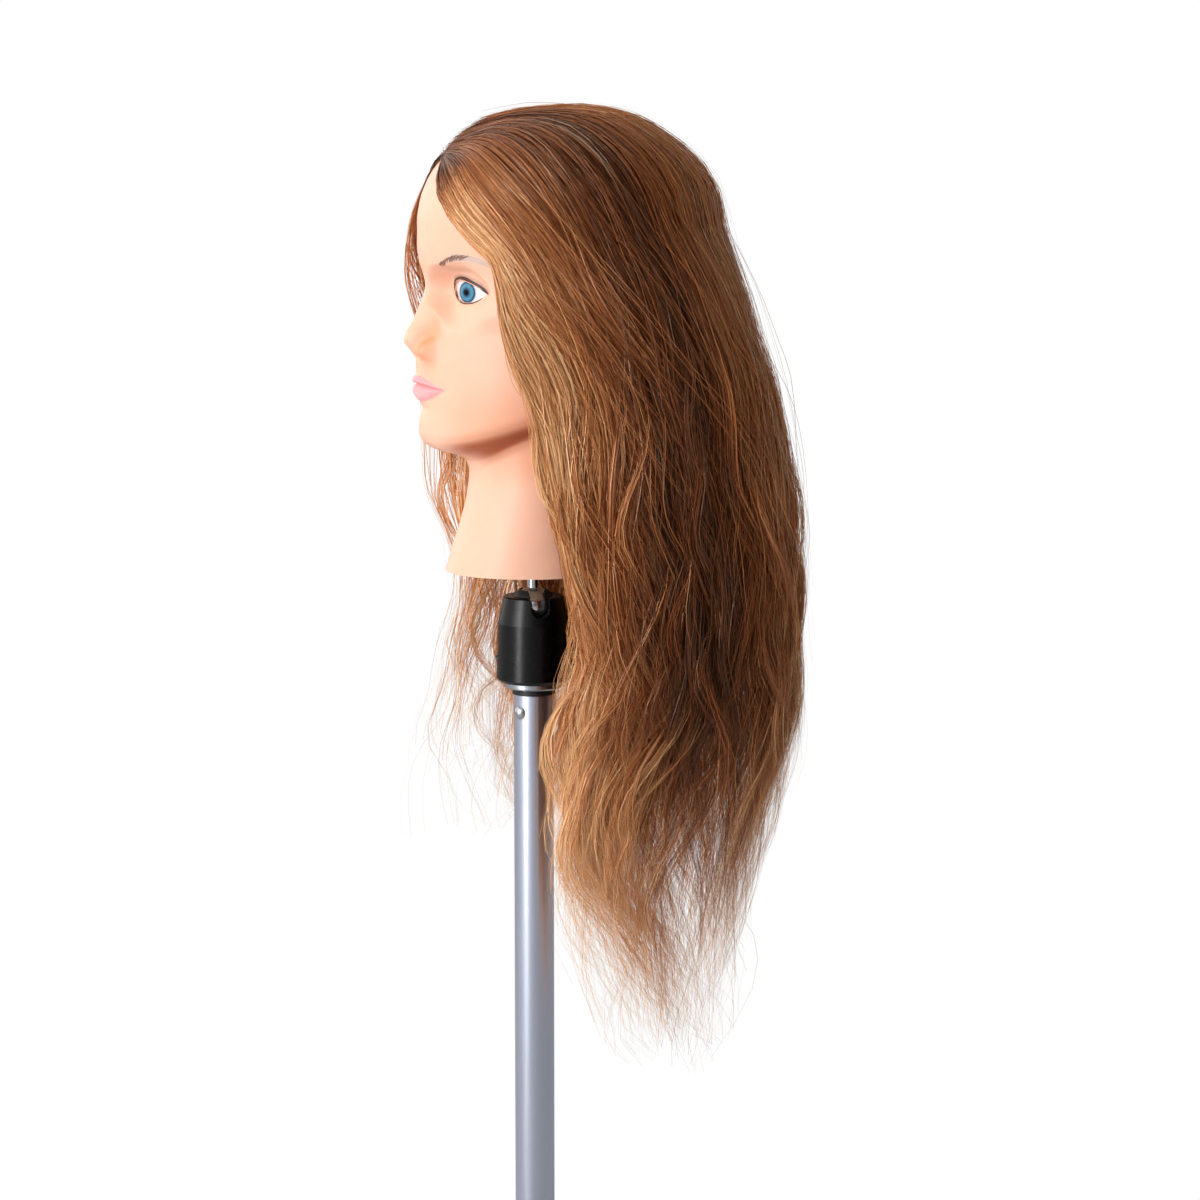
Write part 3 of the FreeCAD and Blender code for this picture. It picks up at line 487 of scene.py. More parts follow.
def on_face(x, z, lift):
    """The point of the face or lids straight behind (x, z), raised off them by lift."""
    hit, normal, _, _ = skin_tree.ray_cast(Vector((x, -150, z)), Vector((0, 1, 0)), 150)
    if hit is None:
        return np.array([x, on_ball(x, z, LID_RADIUS + lift), z])
    if normal.y > 0:
        normal = -normal
    return np.array(hit + normal * lift)


# ---------------------------------------------------------------- eyes, lid lines and brows

def make_eye(name, hand):
    """A printed lens: pupil, iris, rim and white, in rings about the iris."""
    spokes = 96
    gaze, wide = math.radians(28.4), 1.17
    rings = np.array([0, 0.8, 1.5, 1.65, 1.85, 2.2, 3.0, 4.2, 5.1, 5.7, 6.0, 6.25, 6.5, 7.2, 9, 11, 13, 15, 17, 19])
    shades = {
        0: (2, 3, 5), 1.6: (3, 4, 7), 1.85: (26, 52, 72), 2.8: (56, 106, 134), 4.2: (88, 146, 174),
        5.1: (72, 128, 158), 5.7: (40, 82, 110), 6.1: (24, 44, 62), 6.4: (140, 150, 160),
        6.8: (222, 226, 234), 12: (230, 233, 240), 19: (214, 212, 216),
    }
    tone = line(*[(r, *srgb(*c)) for r, c in shades.items()])
    around = np.linspace(0, 2 * math.pi, spokes, endpoint=False)
    ring_grid, around_grid = np.meshgrid(rings, around, indexing="ij")
    swing = gaze + ring_grid * wide * np.cos(around_grid) / EYE_RADIUS
    lift = ring_grid * np.sin(around_grid) / EYE_RADIUS
    x = EYE[0] + EYE_RADIUS * np.sin(swing) * np.cos(lift)
    y = EYE[1] - EYE_RADIUS * np.cos(swing) * np.cos(lift)
    z = EYE[2] + EYE_RADIUS * np.sin(lift)
    surface = np.stack([hand * x, y, z], -1).reshape(-1, 3)
    streak = 1 + 0.28 * (rng.random(spokes) - 0.5)[None, :] * bell(ring_grid - 4.2, 1.8)
    colours = (tone(ring_grid) * streak[..., None]).reshape(-1, 3)
    index = np.arange(len(surface)).reshape(ring_grid.shape)
    nxt = np.roll(index, -1, axis=1)
    faces = np.stack([index[:-1], nxt[:-1], nxt[1:], index[1:]], -1).reshape(-1, 4)
    if hand > 0:
        faces = faces[:, ::-1]
    eye = add_mesh(name, surface, faces, [EYE_GLOSS])
    lay_paint(eye, colours)
    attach(eye, "head")
    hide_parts("eye_left" if hand > 0 else "eye_right")


EYE_GLOSS = material(
    "printed_lens", srgb(250, 250, 252), 0.05, 0.0, paint="paint", bump=(60.0, 0.002), **{"Specular IOR Level": 0.3}
)
LINER = material("lid_paint", srgb(62, 34, 24), 0.5, mottle=(900.0, srgb(84, 50, 36)))
SHADOW = material("lid_shadow", srgb(196, 150, 128), 0.5, mottle=(900.0, srgb(206, 160, 138)))
# painted shade along the lid crease
CREASE = material("painted_crease_shade", srgb(140, 96, 84), 0.5, mottle=(900.0, srgb(160, 116, 102)))
BROW_DARK = material("brow_paint", srgb(128, 92, 78), 0.6, mottle=(900.0, srgb(150, 114, 98)))
BROW_GREY = material("brow_powder", srgb(206, 178, 168), 0.6, mottle=(300.0, srgb(222, 192, 178)))


def band(track, widths, lift, samples=48):
    """A thin painted band on the face: its lower edge follows track and it is widths wide, upward across it."""
    track = np.array(track, float)
    length = np.concatenate([[0], np.cumsum(np.hypot(*np.diff(track, axis=0).T))])
    along = np.linspace(0, length[-1], samples)
    path = line(*[(s, *p) for s, p in zip(length, track)])(along)
    wide = line(*widths)(along / length[-1])
    slope = np.gradient(path, axis=0)
    slope /= np.linalg.norm(slope, axis=1)[:, None]
    across = np.stack([-slope[:, 1], slope[:, 0]], -1)
    made = [[on_face(*(p + n * w * k / 2), lift) for k in range(3)] for p, n, w in zip(path, across, wide)]
    return np.array(made)


def band_mesh(name, bands, materials, slots):
    """One mesh of several bands, each a grid three points wide, for both sides of the face."""
    surface, faces, kinds, start = [], [], [], 0
    for grid, kind in zip(bands, slots):
        for hand in (1, -1):
            flat = grid.reshape(-1, 3) * (hand, 1, 1)
            rows, columns = grid.shape[:2]
            index = start + np.arange(rows * columns).reshape(rows, columns)
            quad = np.stack([index[:-1, :-1], index[1:, :-1], index[1:, 1:], index[:-1, 1:]], -1).reshape(-1, 4)
            surface.append(flat)
            faces.append(quad if hand < 0 else quad[:, ::-1])
            kinds += [kind] * len(quad)
            start += len(flat)
    made = add_mesh(name, np.concatenate(surface), np.concatenate(faces), materials, kinds)
    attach(made, "head")


make_eye("lens_eye_left", 1)
make_eye("lens_eye_right", -1)

upper_x = np.array([15.1, 15.6, 17, 19.5, 22.5, 26, 30, 34, 37.5, 40.3])
upper = np.stack([upper_x, LID_TOP(upper_x)], -1)
upper[0] = (14.9, 594.6)
upper[-1] = (40.6, 593.3)
lower_x = np.array([15.4, 17.5, 20.5, 24, 28, 32, 36, 38.5])
lower = np.stack([lower_x, LID_BOTTOM(lower_x) - 0.5], -1)
crease_x = np.array([13.6, 16, 19, 23, 27, 31, 35, 38.5])
crease_lift = np.array([1.4, 2.6, 2.6, 2.5, 2.5, 2.5, 2.5, 2.6])
crease = np.stack([crease_x, LID_TOP(np.clip(crease_x, 15.2, 40)) + crease_lift], -1)
bands = [
    band(upper - (0, 0.15), ((0, 2.4), (0.12, 3.4), (0.3, 2.9), (0.6, 2.2), (0.85, 1.6), (1, 0.3)), 0.14, 60),
    band(lower, ((0, 2.2), (0.12, 1.5), (0.3, 0.8), (0.6, 0.6), (1, 0.5)), 0.12, 40),
    band(crease, ((0, 0.3), (0.3, 0.8), (0.7, 0.7), (1, 0.15)), 0.16, 40),
    band(upper + (0, 0.9), ((0, 1.4), (0.15, 3.2), (0.4, 3.0), (0.8, 2.4), (1, 0.4)), 0.08, 60),
]
band_mesh("lid_lines", bands, [LINER, CREASE, SHADOW], [0, 0, 1, 2])

# distance from the middle of the face, and the brow's lower and upper edges
BROW = line(
    (22.5, 609.9, 611.9), (26, 610.6, 614.4), (31, 612.4, 616.8), (36, 613.8, 618.0),
    (42, 614.2, 617.9), (48, 612.6, 616.0), (54, 609.6, 611.6),
)
BROW_IN, BROW_DRAWN, STROKES = 22.5, 18.5, 90
strokes, kinds = [], []
for k in range(STROKES):
    x = BROW_IN + BROW_DRAWN * (k + 0.5) / STROKES + rng.uniform(-0.3, 0.3)
    low, high = BROW(x)
    lean = 1.4 + 3.0 * (x - BROW_IN) / BROW_DRAWN
    foot = low + rng.uniform(0, 0.45) * (high - low)
    tip = high - rng.uniform(0, 0.35) * (high - low)
    hair_track = [(x, foot), (x + lean * 0.4, (foot + tip) / 2), (x + lean, tip)]
    strokes.append(band(hair_track, ((0, 0.26), (0.5, 0.34), (1, 0.1)), 0.16, 6))
    kinds.append(0)
powder_x = np.linspace(33, 54, 9)
low, high = np.moveaxis(BROW(powder_x), -1, 0)
powder_widths = zip(np.linspace(0, 1, 9), [0.4, *(high - low)[1:]])
strokes.append(band(np.stack([powder_x, low], -1), list(powder_widths), 0.11, 40))
kinds.append(1)
band_mesh("brows", strokes, [BROW_DARK, BROW_GREY], kinds)


# ---------------------------------------------------------------- hair

SHADES = [(54, 26, 13), (90, 45, 22), (122, 64, 32), (154, 85, 43), (184, 110, 61), (214, 145, 89), (244, 192, 138)]
HAIR_SHINE = {"Specular IOR Level": 0.85, "Specular Tint": (1.0, 0.8, 0.58, 1)}
HAIR = [material(f"hair_shade_{k}", srgb(*c), 0.33, 0.0, **HAIR_SHINE) for k, c in enumerate(SHADES)]
# Guides from root to tip, from the front edge on the head's left, round the back, to the front edge on its right.
LEFT = [
    [(2, -56, 674), (22, -57, 652), (45, -49, 629), (58, -40, 616), (68, -37.5, 602), (74.5, -36, 584),
     (77.5, -32, 564), (78.5, -26, 545), (78, -15, 515), (74, -4, 472), (68, 13, 428), (64, 18, 384),
     (55, 5, 346), (50, 1, 310), (49, 2, 275), (48, 6, 245), (50, 15, 200), (53, 38, 150)],
    [(2, -56, 676), (25, -50, 664), (44, -43, 646), (58, -34, 630), (70, -25, 610), (78, -17, 585),
     (81.5, -8, 558), (82.5, -1, 530), (82, 5, 495), (80, 11, 455), (77, 18, 415), (73, 22, 375),
     (69, 21, 335), (67, 19, 300), (65, 21, 260), (62, 29, 220), (58, 44, 175), (54, 58, 135)],
    [(2, -54, 680), (26, -42, 676), (47, -30, 661), (62, -18, 642), (74, -6, 618), (81.5, 5, 592),
     (85, 14, 565), (86.5, 22, 532), (86.5, 28, 495), (85, 33, 455), (83, 38, 415), (80, 41, 375),
     (77, 41, 335), (74, 41, 295), (71, 45, 255), (66, 54, 210), (60, 68, 165), (56, 78, 125)],
    [(2, -51, 684), (25, -32, 687), (46, -15, 676), (64, 0, 654), (76, 14, 627), (84, 26, 598),
     (88, 36, 568), (90, 44, 535), (90, 52, 495), (89, 58, 455), (87, 62, 415), (85, 65, 375),
     (82, 66, 335), (79, 67, 295), (74, 71, 250), (67, 79, 205), (60, 88, 160), (56, 94, 115)],
    [(2, -46, 689), (23, -21, 696), (44, 3, 688), (63, 22, 667), (76, 38, 637), (84, 52, 603),
     (88, 62, 568), (90, 72, 535), (90, 80, 495), (89, 86, 455), (88, 91, 415), (86, 94, 375),
     (82, 96, 335), (77, 96, 295), (70, 98, 250), (62, 102, 205), (55, 106, 160), (50, 106, 105)],
    [(2, -38, 695), (19, -7, 703), (38, 20, 698), (56, 42, 679), (69, 62, 647), (77, 78, 609),
     (80, 90, 570), (82, 100, 535), (82, 109, 495), (81, 116, 455), (79, 122, 415), (76, 126, 375),
     (72, 129, 335), (67, 127, 295), (60, 121, 250), (52, 116, 205), (45, 112, 160), (41, 104, 108)],
    [(2, -28, 700), (14, 6, 705), (29, 35, 700), (44, 58, 681), (55, 81, 648), (61, 101, 609),
     (63, 114, 570), (65, 126, 535), (65, 135, 495), (64, 143, 455), (62, 148, 415), (59, 151, 375),
     (56, 153, 335), (50, 147, 295), (44, 134, 250), (37, 124, 205), (31, 114, 160), (28, 104, 112)],
    [(1.5, -16, 703), (8, 24, 706), (18, 52, 699), (29, 77, 677), (36, 101, 643), (39, 119, 604),
     (40, 131, 568), (42, 142, 535), (42, 149, 495), (41, 156, 455), (40, 158, 415), (38, 158, 375),
     (36, 159, 335), (32, 152, 295), (28, 138, 250), (23, 128, 205), (19, 116, 160), (17, 104, 114)],
]
BACK = [
    (0, -5, 704), (0, 40, 706), (0, 69, 695), (0, 96, 670), (0, 117, 637), (0, 130, 600), (0, 139, 565),
    (0, 149, 535), (0, 154, 495), (0, 159, 455), (0, 161, 415), (0, 161, 375), (0, 162, 335), (0, 154, 295),
    (0, 140, 250), (0, 129, 205), (0, 116, 160), (0, 104, 116),
]
RIGHT = [
    *[[(-x, y, z) for x, y, z in guide] for guide in (LEFT[7], LEFT[6], LEFT[5])],
    [(-2, -46, 689), (-23, -21, 696), (-44, 3, 688), (-63, 22, 667), (-76, 38, 637), (-84, 52, 603),
     (-88, 62, 568), (-90, 70, 535), (-89, 75, 500), (-87, 78, 465), (-84, 80, 430), (-81, 81, 395),
     (-77, 82, 360), (-73, 82, 325), (-68, 83, 290), (-62, 86, 255), (-56, 90, 220), (-52, 92, 190)],
    [(-2, -51, 684), (-25, -32, 687), (-46, -15, 676), (-64, 0, 654), (-76, 14, 627), (-84, 24, 598),
     (-87, 30, 568), (-88, 34, 540), (-87, 37, 510), (-85, 39, 480), (-83, 40, 450), (-80, 41, 420),
     (-77, 42, 390), (-73, 43, 360), (-69, 44, 330), (-64, 46, 300), (-59, 50, 272), (-56, 54, 248)],
    [(-2, -54, 680), (-26, -43, 676), (-47, -32, 661), (-62, -22, 642), (-73, -12, 618), (-80, -5, 592),
     (-83, -2, 565), (-84, 0, 540), (-83, 2, 510), (-81, 4, 480), (-79, 6, 450), (-76, 8, 420),
     (-73, 8, 390), (-70, 8, 360), (-66, 9, 330), (-62, 12, 300), (-57, 16, 275), (-54, 20, 255)],
    [(-2, -56, 677), (-25, -56, 667), (-43, -54, 651), (-58, -50, 630), (-68, -46, 608), (-74, -42, 585),
     (-77, -38, 562), (-78, -34, 538), (-78, -30, 510), (-76, -27, 480), (-73, -24, 450), (-70, -23, 420),
     (-66, -25, 390), (-62, -30, 360), (-58, -26, 330), (-55, -22, 300), (-52, -14, 272), (-48, -6, 250)],
    [(-2, -57, 675), (-20, -63, 660), (-38, -67.5, 641), (-52, -69, 619), (-60, -68, 599), (-65, -64, 581),
     (-69, -58, 562), (-71, -55, 538), (-71, -54, 512), (-70, -53, 486), (-68, -50, 462), (-63, -47, 436),
     (-59, -44, 400), (-57, -47, 365), (-56, -48, 330), (-55, -64, 303), (-55, -68, 278), (-55, -62, 245)],
]


def dense(table, count, axis):
    """The same table with 'count' entries along an axis, on a Catmull-Rom curve."""
    table = np.moveaxis(np.asarray(table, float), axis, 0)
    padded = np.concatenate([2 * table[:1] - table[1:2], table, 2 * table[-1:] - table[-2:-1]])
    at = np.linspace(0, len(table) - 1, count)
    k = np.minimum(at.astype(int), len(table) - 2)
    t = (at - k).reshape(-1, *[1] * (table.ndim - 1))
    a, b, c, d = (padded[k + j] for j in range(4))
    made = 0.5 * (2 * b + (c - a) * t + (2 * a - 5 * b + 4 * c - d) * t**2 + (3 * b - 3 * c + d - a) * t**3)
    return np.moveaxis(made, 0, axis)


SCALP_MIDDLE = np.array([0, 22, 600.0])


def beyond(points, gap):
    """Points pushed straight out from the middle of the head until they are 'gap' off the scalp or neck."""
    middle = np.broadcast_to(SCALP_MIDDLE, points.shape).copy()
    middle[..., 2] = np.minimum(points[..., 2], 600)
    middle[..., 1] = np.where(points[..., 2] < 520, 8, 22)
    way = points - middle
    far = np.linalg.norm(way, axis=-1)
    way /= np.maximum(far, 1e-6)[..., None]
    low, high = np.zeros(far.shape), np.full(far.shape, 200.0)
    for _ in range(16):
        reach = (low + high) / 2
        at = middle + way * reach[..., None]
        row = np.clip(at[..., 2] - JAW_RISE(at[..., 2] - 8), 420, 701.5)
        front, back, half, centre, power = np.moveaxis(HEAD(row), -1, 0)
        angle = np.arctan2(at[..., 0], centre - at[..., 1])
        depth = np.where(np.cos(angle) > 0, centre - front, back - centre)
        edge = (np.abs(np.cos(angle) / depth) ** power + np.abs(np.sin(angle) / half) ** power) ** (-1 / power)
        inside = (np.hypot(at[..., 0], at[..., 1] - centre) < edge) & (at[..., 2] < 702) & (at[..., 2] > 419)
        low, high = np.where(inside, reach, low), np.where(inside, high, reach)
    short = np.maximum(low + gap - far, 0)
    return points + way * short[..., None]


GUIDES = dense(dense([*LEFT, BACK, *RIGHT], 129, 0), 121, 1)
LAST = len(LEFT) + len(RIGHT)
guides_round = np.linspace(0, LAST, GUIDES.shape[0])
edge_share = smooth(0, 2.2, np.minimum(guides_round, LAST - guides_round))[:, None]
off_scalp = (1.5 + 4.5 * smooth(0, 0.14, np.linspace(0, 1, GUIDES.shape[1])))[None, :]
GUIDES = beyond(GUIDES, off_scalp * (0.4 + 0.6 * edge_share))


def guide_at(g, t):
    """Point on the outer surface of the hair, g guides round and t of the way to the tips."""
    gi = np.clip(g, -0.6, LAST + 0.6) / LAST * (GUIDES.shape[0] - 1)
    ti = np.clip(t, 0, 1) * (GUIDES.shape[1] - 1)
    a, b = np.clip(gi.astype(int), 0, GUIDES.shape[0] - 2), np.minimum(ti.astype(int), GUIDES.shape[1] - 2)
    u, v = (gi - a)[..., None], (ti - b)[..., None]
    before = GUIDES[a, b] * (1 - u) + GUIDES[a + 1, b] * u
    after = GUIDES[a, b + 1] * (1 - u) + GUIDES[a + 1, b + 1] * u
    return before * (1 - v) + after * v


def inward(points):
    """The way from each point into the hair: to the middle of the head, or level with it to the pole."""
    z = points[..., 2]
    way = np.stack([np.zeros(z.shape), np.where(z > 560, 22.0, 35.0), np.minimum(z, 605)], -1) - points
    return way / np.linalg.norm(way, axis=-1)[..., None]


# by the guides round: how closely the clumps stand, and painted light and shade on their hair: lighter at the lit
# front edges and the backlit rim, darker on the shaded side
CROWDING = line((0, 2.3), (1.5, 1.8), (3, 1.1), (LAST - 3, 1.0), (LAST - 1, 0.7), (LAST, 0.5))
PAINTED_LIGHT_BY_GUIDE = line(
    (0, 3.7), (1.0, 2.7), (2.0, 0.1), (3.0, -1.7), (4.0, -2.6), (4.6, -2.3), (5.2, -1.0),
    (6.0, 0.9), (6.6, 2.4), (7.4, 3.6), (8.6, 3.4), (10.5, 1.6), (12, 0.4), (LAST - 3, 0.8),
    (LAST - 1.5, 2.0), (LAST, 2.8),
)
# slow changes round the head in where the three waves start
FLOW = np.cumsum(rng.normal(0, 1.3, (3, 33)), axis=1)
PER_CLUMP, HAIR_LENGTH, WAVELENGTHS = 24, 620, (85, 175, 130)
NECK_END, POLE_CLEARANCE = 419, 32.0
# axis, where the hair starts to be held back, how far it can still go
LIMITS = ((0, 91, 9), (1, 167, 11))


def strands(count, depth_range, reach_range, width, spread, wave, samples, tone):
    """Clumped strands: points, widths, shades, guides round, and the ways round and into the hair.

    All are (strand, sample), with 't' the share of the way from the root to the longest tips.
    """
    clumps = count // PER_CLUMP
    count = clumps * PER_CLUMP
    clump = np.repeat(np.arange(clumps), PER_CLUMP)
    places_round = np.linspace(0, LAST, 400)
    crowd = np.cumsum(CROWDING(places_round))
    clump_g = np.interp(rng.uniform(0, crowd[-1], clumps), crowd, places_round)
    clump_d = rng.uniform(*depth_range, clumps)
    flow = np.stack([np.interp(clump_g, np.linspace(0, LAST, FLOW.shape[1]), row) for row in FLOW])
    phase = flow + rng.normal(0, 0.5, (3, clumps))
    pace = rng.uniform(0.88, 1.12, (3, clumps))
    strength, reach = rng.uniform(0.4, 1.4, clumps), rng.uniform(*reach_range, clumps)
    to_back = np.where(clump_g < LAST / 2, 1, -1) * (1 - smooth(2.0, 6.5, np.minimum(clump_g, LAST - clump_g)))
    drift = to_back * np.where(rng.random(clumps) < 0.3, rng.uniform(-0.2, 0.3, clumps), rng.uniform(0.6, 3.2, clumps))
    own_g, own_d = rng.normal(0, spread, count), rng.normal(0, 0.10, count)
    start = np.clip(rng.beta(0.7, 1.6, count) * 0.42, 0, 0.5)
    end = reach[clump] * rng.uniform(0.84, 1.0, count)
    end = np.where(rng.random(count) < (0.03 if width < 1 else 0), rng.uniform(0.92, 1.0, count), end)
    longer = 0.12 * smooth(LAST - 5, LAST - 3, clump_g) + 0.10 * smooth(3.0, 0.8, clump_g)
    end = np.minimum(end + longer[clump], 1)
    t = start[:, None] + (end - start)[:, None] * np.linspace(0, 1, samples)[None, :]
    since = t - start[:, None]
    together = 1 - 0.5 * smooth(0.25, 0.75, t) + 0.45 * smooth(0.8, 1.0, t)
    drifting = drift[clump][:, None] * smooth(0.12, 0.58, t) * (1 - 0.6 * smooth(0.62, 0.92, t))
    g = clump_g[clump][:, None] + own_g[:, None] * together + drifting
    past = 0.04 + 0.12 * smooth(0.34, 0.5, t)
    g = np.clip(g, -past, LAST + past)
    depth = np.clip(clump_d[clump][:, None] + own_d[:, None] * together, -0.9, 1.2)
    rising = np.exp(-since / 0.05) * smooth(0, 0.03, start)[:, None]
    depth = depth + (1.25 - depth) * rising
    place = guide_at(g, t)
    inner = inward(place)
    edge = np.clip(np.minimum(g, LAST - g), 0, None)
    thick = (6 + 16 * smooth(0.1, 0.42, t)) * (0.35 + 0.65 * smooth(0, 2.2, edge)) * (1 - 0.25 * smooth(0.75, 1, t))
    place = place + inner * (thick * depth)[..., None]
    along = t * HAIR_LENGTH
    far_side = smooth(LAST - 4, LAST - 1, g)
    swing = wave * (0.12 + 0.88 * smooth(0.24, 0.6, t)) * smooth(0.12, 0.3, t) * strength[clump][:, None]
    wilder = 1 + 0.5 * far_side * smooth(0.5, 0.62, t) + 0.7 * smooth(0.7, 1.0, t)
    swing *= wilder * (0.4 + 0.6 * smooth(0, 1.4, edge))
    sway = []
    for k, wavelength in enumerate(WAVELENGTHS):
        turns = 2 * math.pi * along / (wavelength * pace[k][clump][:, None])
        sway.append(np.sin(turns + phase[k][clump][:, None] + 0.6 * own_g[:, None]))
    tangent = np.gradient(place, axis=1)
    tangent /= np.maximum(np.linalg.norm(tangent, axis=-1), 1e-6)[..., None]
    around = np.cross(tangent, inner)
    around /= np.maximum(np.linalg.norm(around, axis=-1), 1e-6)[..., None]
    place = place + around * (swing * (0.3 * sway[0] + 2.0 * sway[1]))[..., None]
    place = place - inner * (swing * 0.55 * sway[2])[..., None]
    frizz = dense(rng.normal(0, 1, (count, 9, 2)), samples, 1) * smooth(0, 0.06, since)[..., None]
    frizz *= (0.35 + 1.2 * smooth(0.25, 0.9, t) + 3.0 * smooth(0.78, 1.0, t))[..., None]
    place = place + around * frizz[..., :1] + inner * frizz[..., 1:]
    place = beyond(place, 0.8)
    off_pole = np.hypot(place[..., 0], place[..., 1])
    clear = np.where(place[..., 2] < NECK_END, np.maximum(POLE_CLEARANCE - off_pole, 0), 0)
    place[..., :2] += place[..., :2] / np.maximum(off_pole, 1)[..., None] * clear[..., None]
    for axis, limit, give in LIMITS:
        over = np.maximum(np.abs(place[..., axis]) - limit, 0)
        place[..., axis] -= np.sign(place[..., axis]) * (over - give * np.tanh(over / give))
    tapered = 1 - 0.75 * smooth(0.6, 1.0, since / (end - start)[:, None])
    widths = width * (0.55 + 0.45 * smooth(0, 0.05, since)) * tapered
    # shade slot: layer tone, painted light and shade by guide, random clump and strand tone, lighter tips (partly the
    # hair's own tone, partly a painted backlit glow), darker low front edge, darker roots, painted shade deeper in the
    # hair, and a painted backlit glow on the far side
    shade = (
        tone + PAINTED_LIGHT_BY_GUIDE(np.clip(g, 0, LAST)) * (0.5 + 0.5 * smooth(0.04, 0.2, t))
        + 0.85 * rng.normal(0, 1, clumps)[clump][:, None] + 0.6 * rng.normal(0, 1, count)[:, None]
        + 3.0 * smooth(0.62, 1.0, t) - 1.7 * smooth(2.4, 0.6, g) * smooth(0.46, 0.58, t)
        - 0.9 * smooth(0.19, 0.04, t) - 1.6 * depth + 1.8 * far_side * smooth(0.3, 0.5, t)
    )
    rooted = smooth(2.4, 1.2, edge) * smooth(0.12, 0.05, t)
    shade = shade * (1 - rooted) + (1.5 + 0.5 * rng.normal(0, 1, count)[:, None]) * rooted
    # the lightest slot allowed rises towards the tips and with painted light: on the lit front edge, the backlit far
    # side and the backlit rim
    brightest = (
        (3.3 + 2.2 * rng.random(count) ** 1.5)[:, None] + 2.0 * smooth(0.5, 0.9, t)
        + 1.5 * smooth(1.8, 0.4, edge) + 0.8 * far_side + 0.8 * smooth(5.0, 6.5, g)
    )
    return place, widths, np.minimum(shade, brightest), g, around, inner


def split_at(place, height):
    """Index of the first sample below a height on each strand, or the number of samples."""
    below = place[..., 2] < height
    return np.where(below.any(axis=1), below.argmax(axis=1), place.shape[1])


def ribbons(place, widths, around, inner):
    """Both edges of each strand's ribbon, as (strand, sample, edge)."""
    count, samples = widths.shape
    twist = rng.uniform(-0.9, 0.9, count)[:, None]
    twist = twist + rng.normal(0, 0.5, count)[:, None] * np.linspace(0, 1, samples)
    side = around * np.cos(twist)[..., None] + inner * np.sin(twist)[..., None]
    return np.stack([place - side * widths[..., None] / 2, place + side * widths[..., None] / 2], axis=2)


# Height where each strand is cut into its upper and lower part.
SPLIT = 350.0
hair = {}


def put_by(zone, tier, corners, slots):
    hair.setdefault((zone, tier), []).append((corners, slots))


def grow(*spec):
    """Strands put by for their zone of the head, in two parts where they pass the split."""
    place, widths, shade, g, around, inner = strands(*spec)
    corners = ribbons(place, widths, around, inner)
    shade_slot = np.clip(np.round(shade), 0, len(SHADES) - 1).astype(int)
    cut = split_at(place, SPLIT)
    kept = np.flatnonzero((widths.max(axis=1) < 2) | (g.max(axis=1) < LAST - 0.9))
    zone = np.clip((g[:, len(g[0]) // 2] / LAST * 4).astype(int), 0, 3)
    for s in kept:
        k = cut[s]
        line_s, slot_s = corners[s], shade_slot[s]
        if k >= len(line_s):
            put_by(zone[s], "upper", line_s, slot_s)
            continue
        if k == 0:
            put_by(zone[s], "lower", line_s, slot_s)
            continue
        above, below = place[s, k - 1, 2], place[s, k, 2]
        share = (above - SPLIT) / (above - below)
        seam = line_s[k - 1] * (1 - share) + line_s[k] * share
        put_by(zone[s], "upper", np.concatenate([line_s[:k], seam[None]]), np.append(slot_s[:k], slot_s[k]))
        put_by(zone[s], "lower", np.concatenate([seam[None], line_s[k:]]), slot_s[k - 1:])


# count, depth, how far down they reach, width, spread, wave, samples, shade (lowest for the deep under-layer, a
# painted shade inside the hair; highest for the outer flyaways, a painted light rim)
grow(1000, (0.75, 1.1), (0.58, 0.76), 4.0, 0.30, 2.0, 24, 2.9)
grow(3000, (0.35, 0.9), (0.60, 0.84), 1.1, 0.32, 4.2, 30, 3.6)
grow(6200, (0.0, 0.55), (0.65, 0.95), 0.48, 0.34, 6.0, 36, 4.0)
grow(6600, (-0.05, 0.4), (0.68, 0.97), 0.48, 0.11, 8.0, 36, 4.2)
grow(1200, (-0.1, 0.2), (0.70, 1.0), 0.32, 0.9, 8.0, 36, 4.8)
grow(160, (-0.5, -0.05), (0.3, 0.9), 0.24, 1.6, 5.0, 30, 5.2)

ZONES = ["side_left", "back_left", "back_right", "side_right"]
STANDS_FOR = {
    ("side_left", "upper"): ("hair_left", "hair_front"),
    ("back_left", "upper"): ("hair_crown", "hair_back"),
    ("side_right", "upper"): ("hair_right",),
}
for (zone, tier), tufts in sorted(hair.items()):
    surface, faces, slots, start = [], [], [], 0
    for corners, slot in tufts:
        rows_here = len(corners)
        if rows_here < 2:
            continue
        surface.append(corners.reshape(-1, 3))
        k = start + 2 * np.arange(rows_here - 1)
        faces.append(np.stack([k, k + 1, k + 3, k + 2], -1))
        slots.append(slot[1:])
        start += 2 * rows_here
    name = ZONES[zone]
    surface, faces, slots = (np.concatenate(part) for part in (surface, faces, slots))
    lock = add_mesh(f"hair_{name}_{tier}", surface, faces, HAIR, slots)
    if tier == "upper":
        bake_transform(lock)
    else:
        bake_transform(lock)
    if (name, tier) in STANDS_FOR:
        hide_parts(*STANDS_FOR[name, tier])


# ---------------------------------------------------------------- floor, light and camera

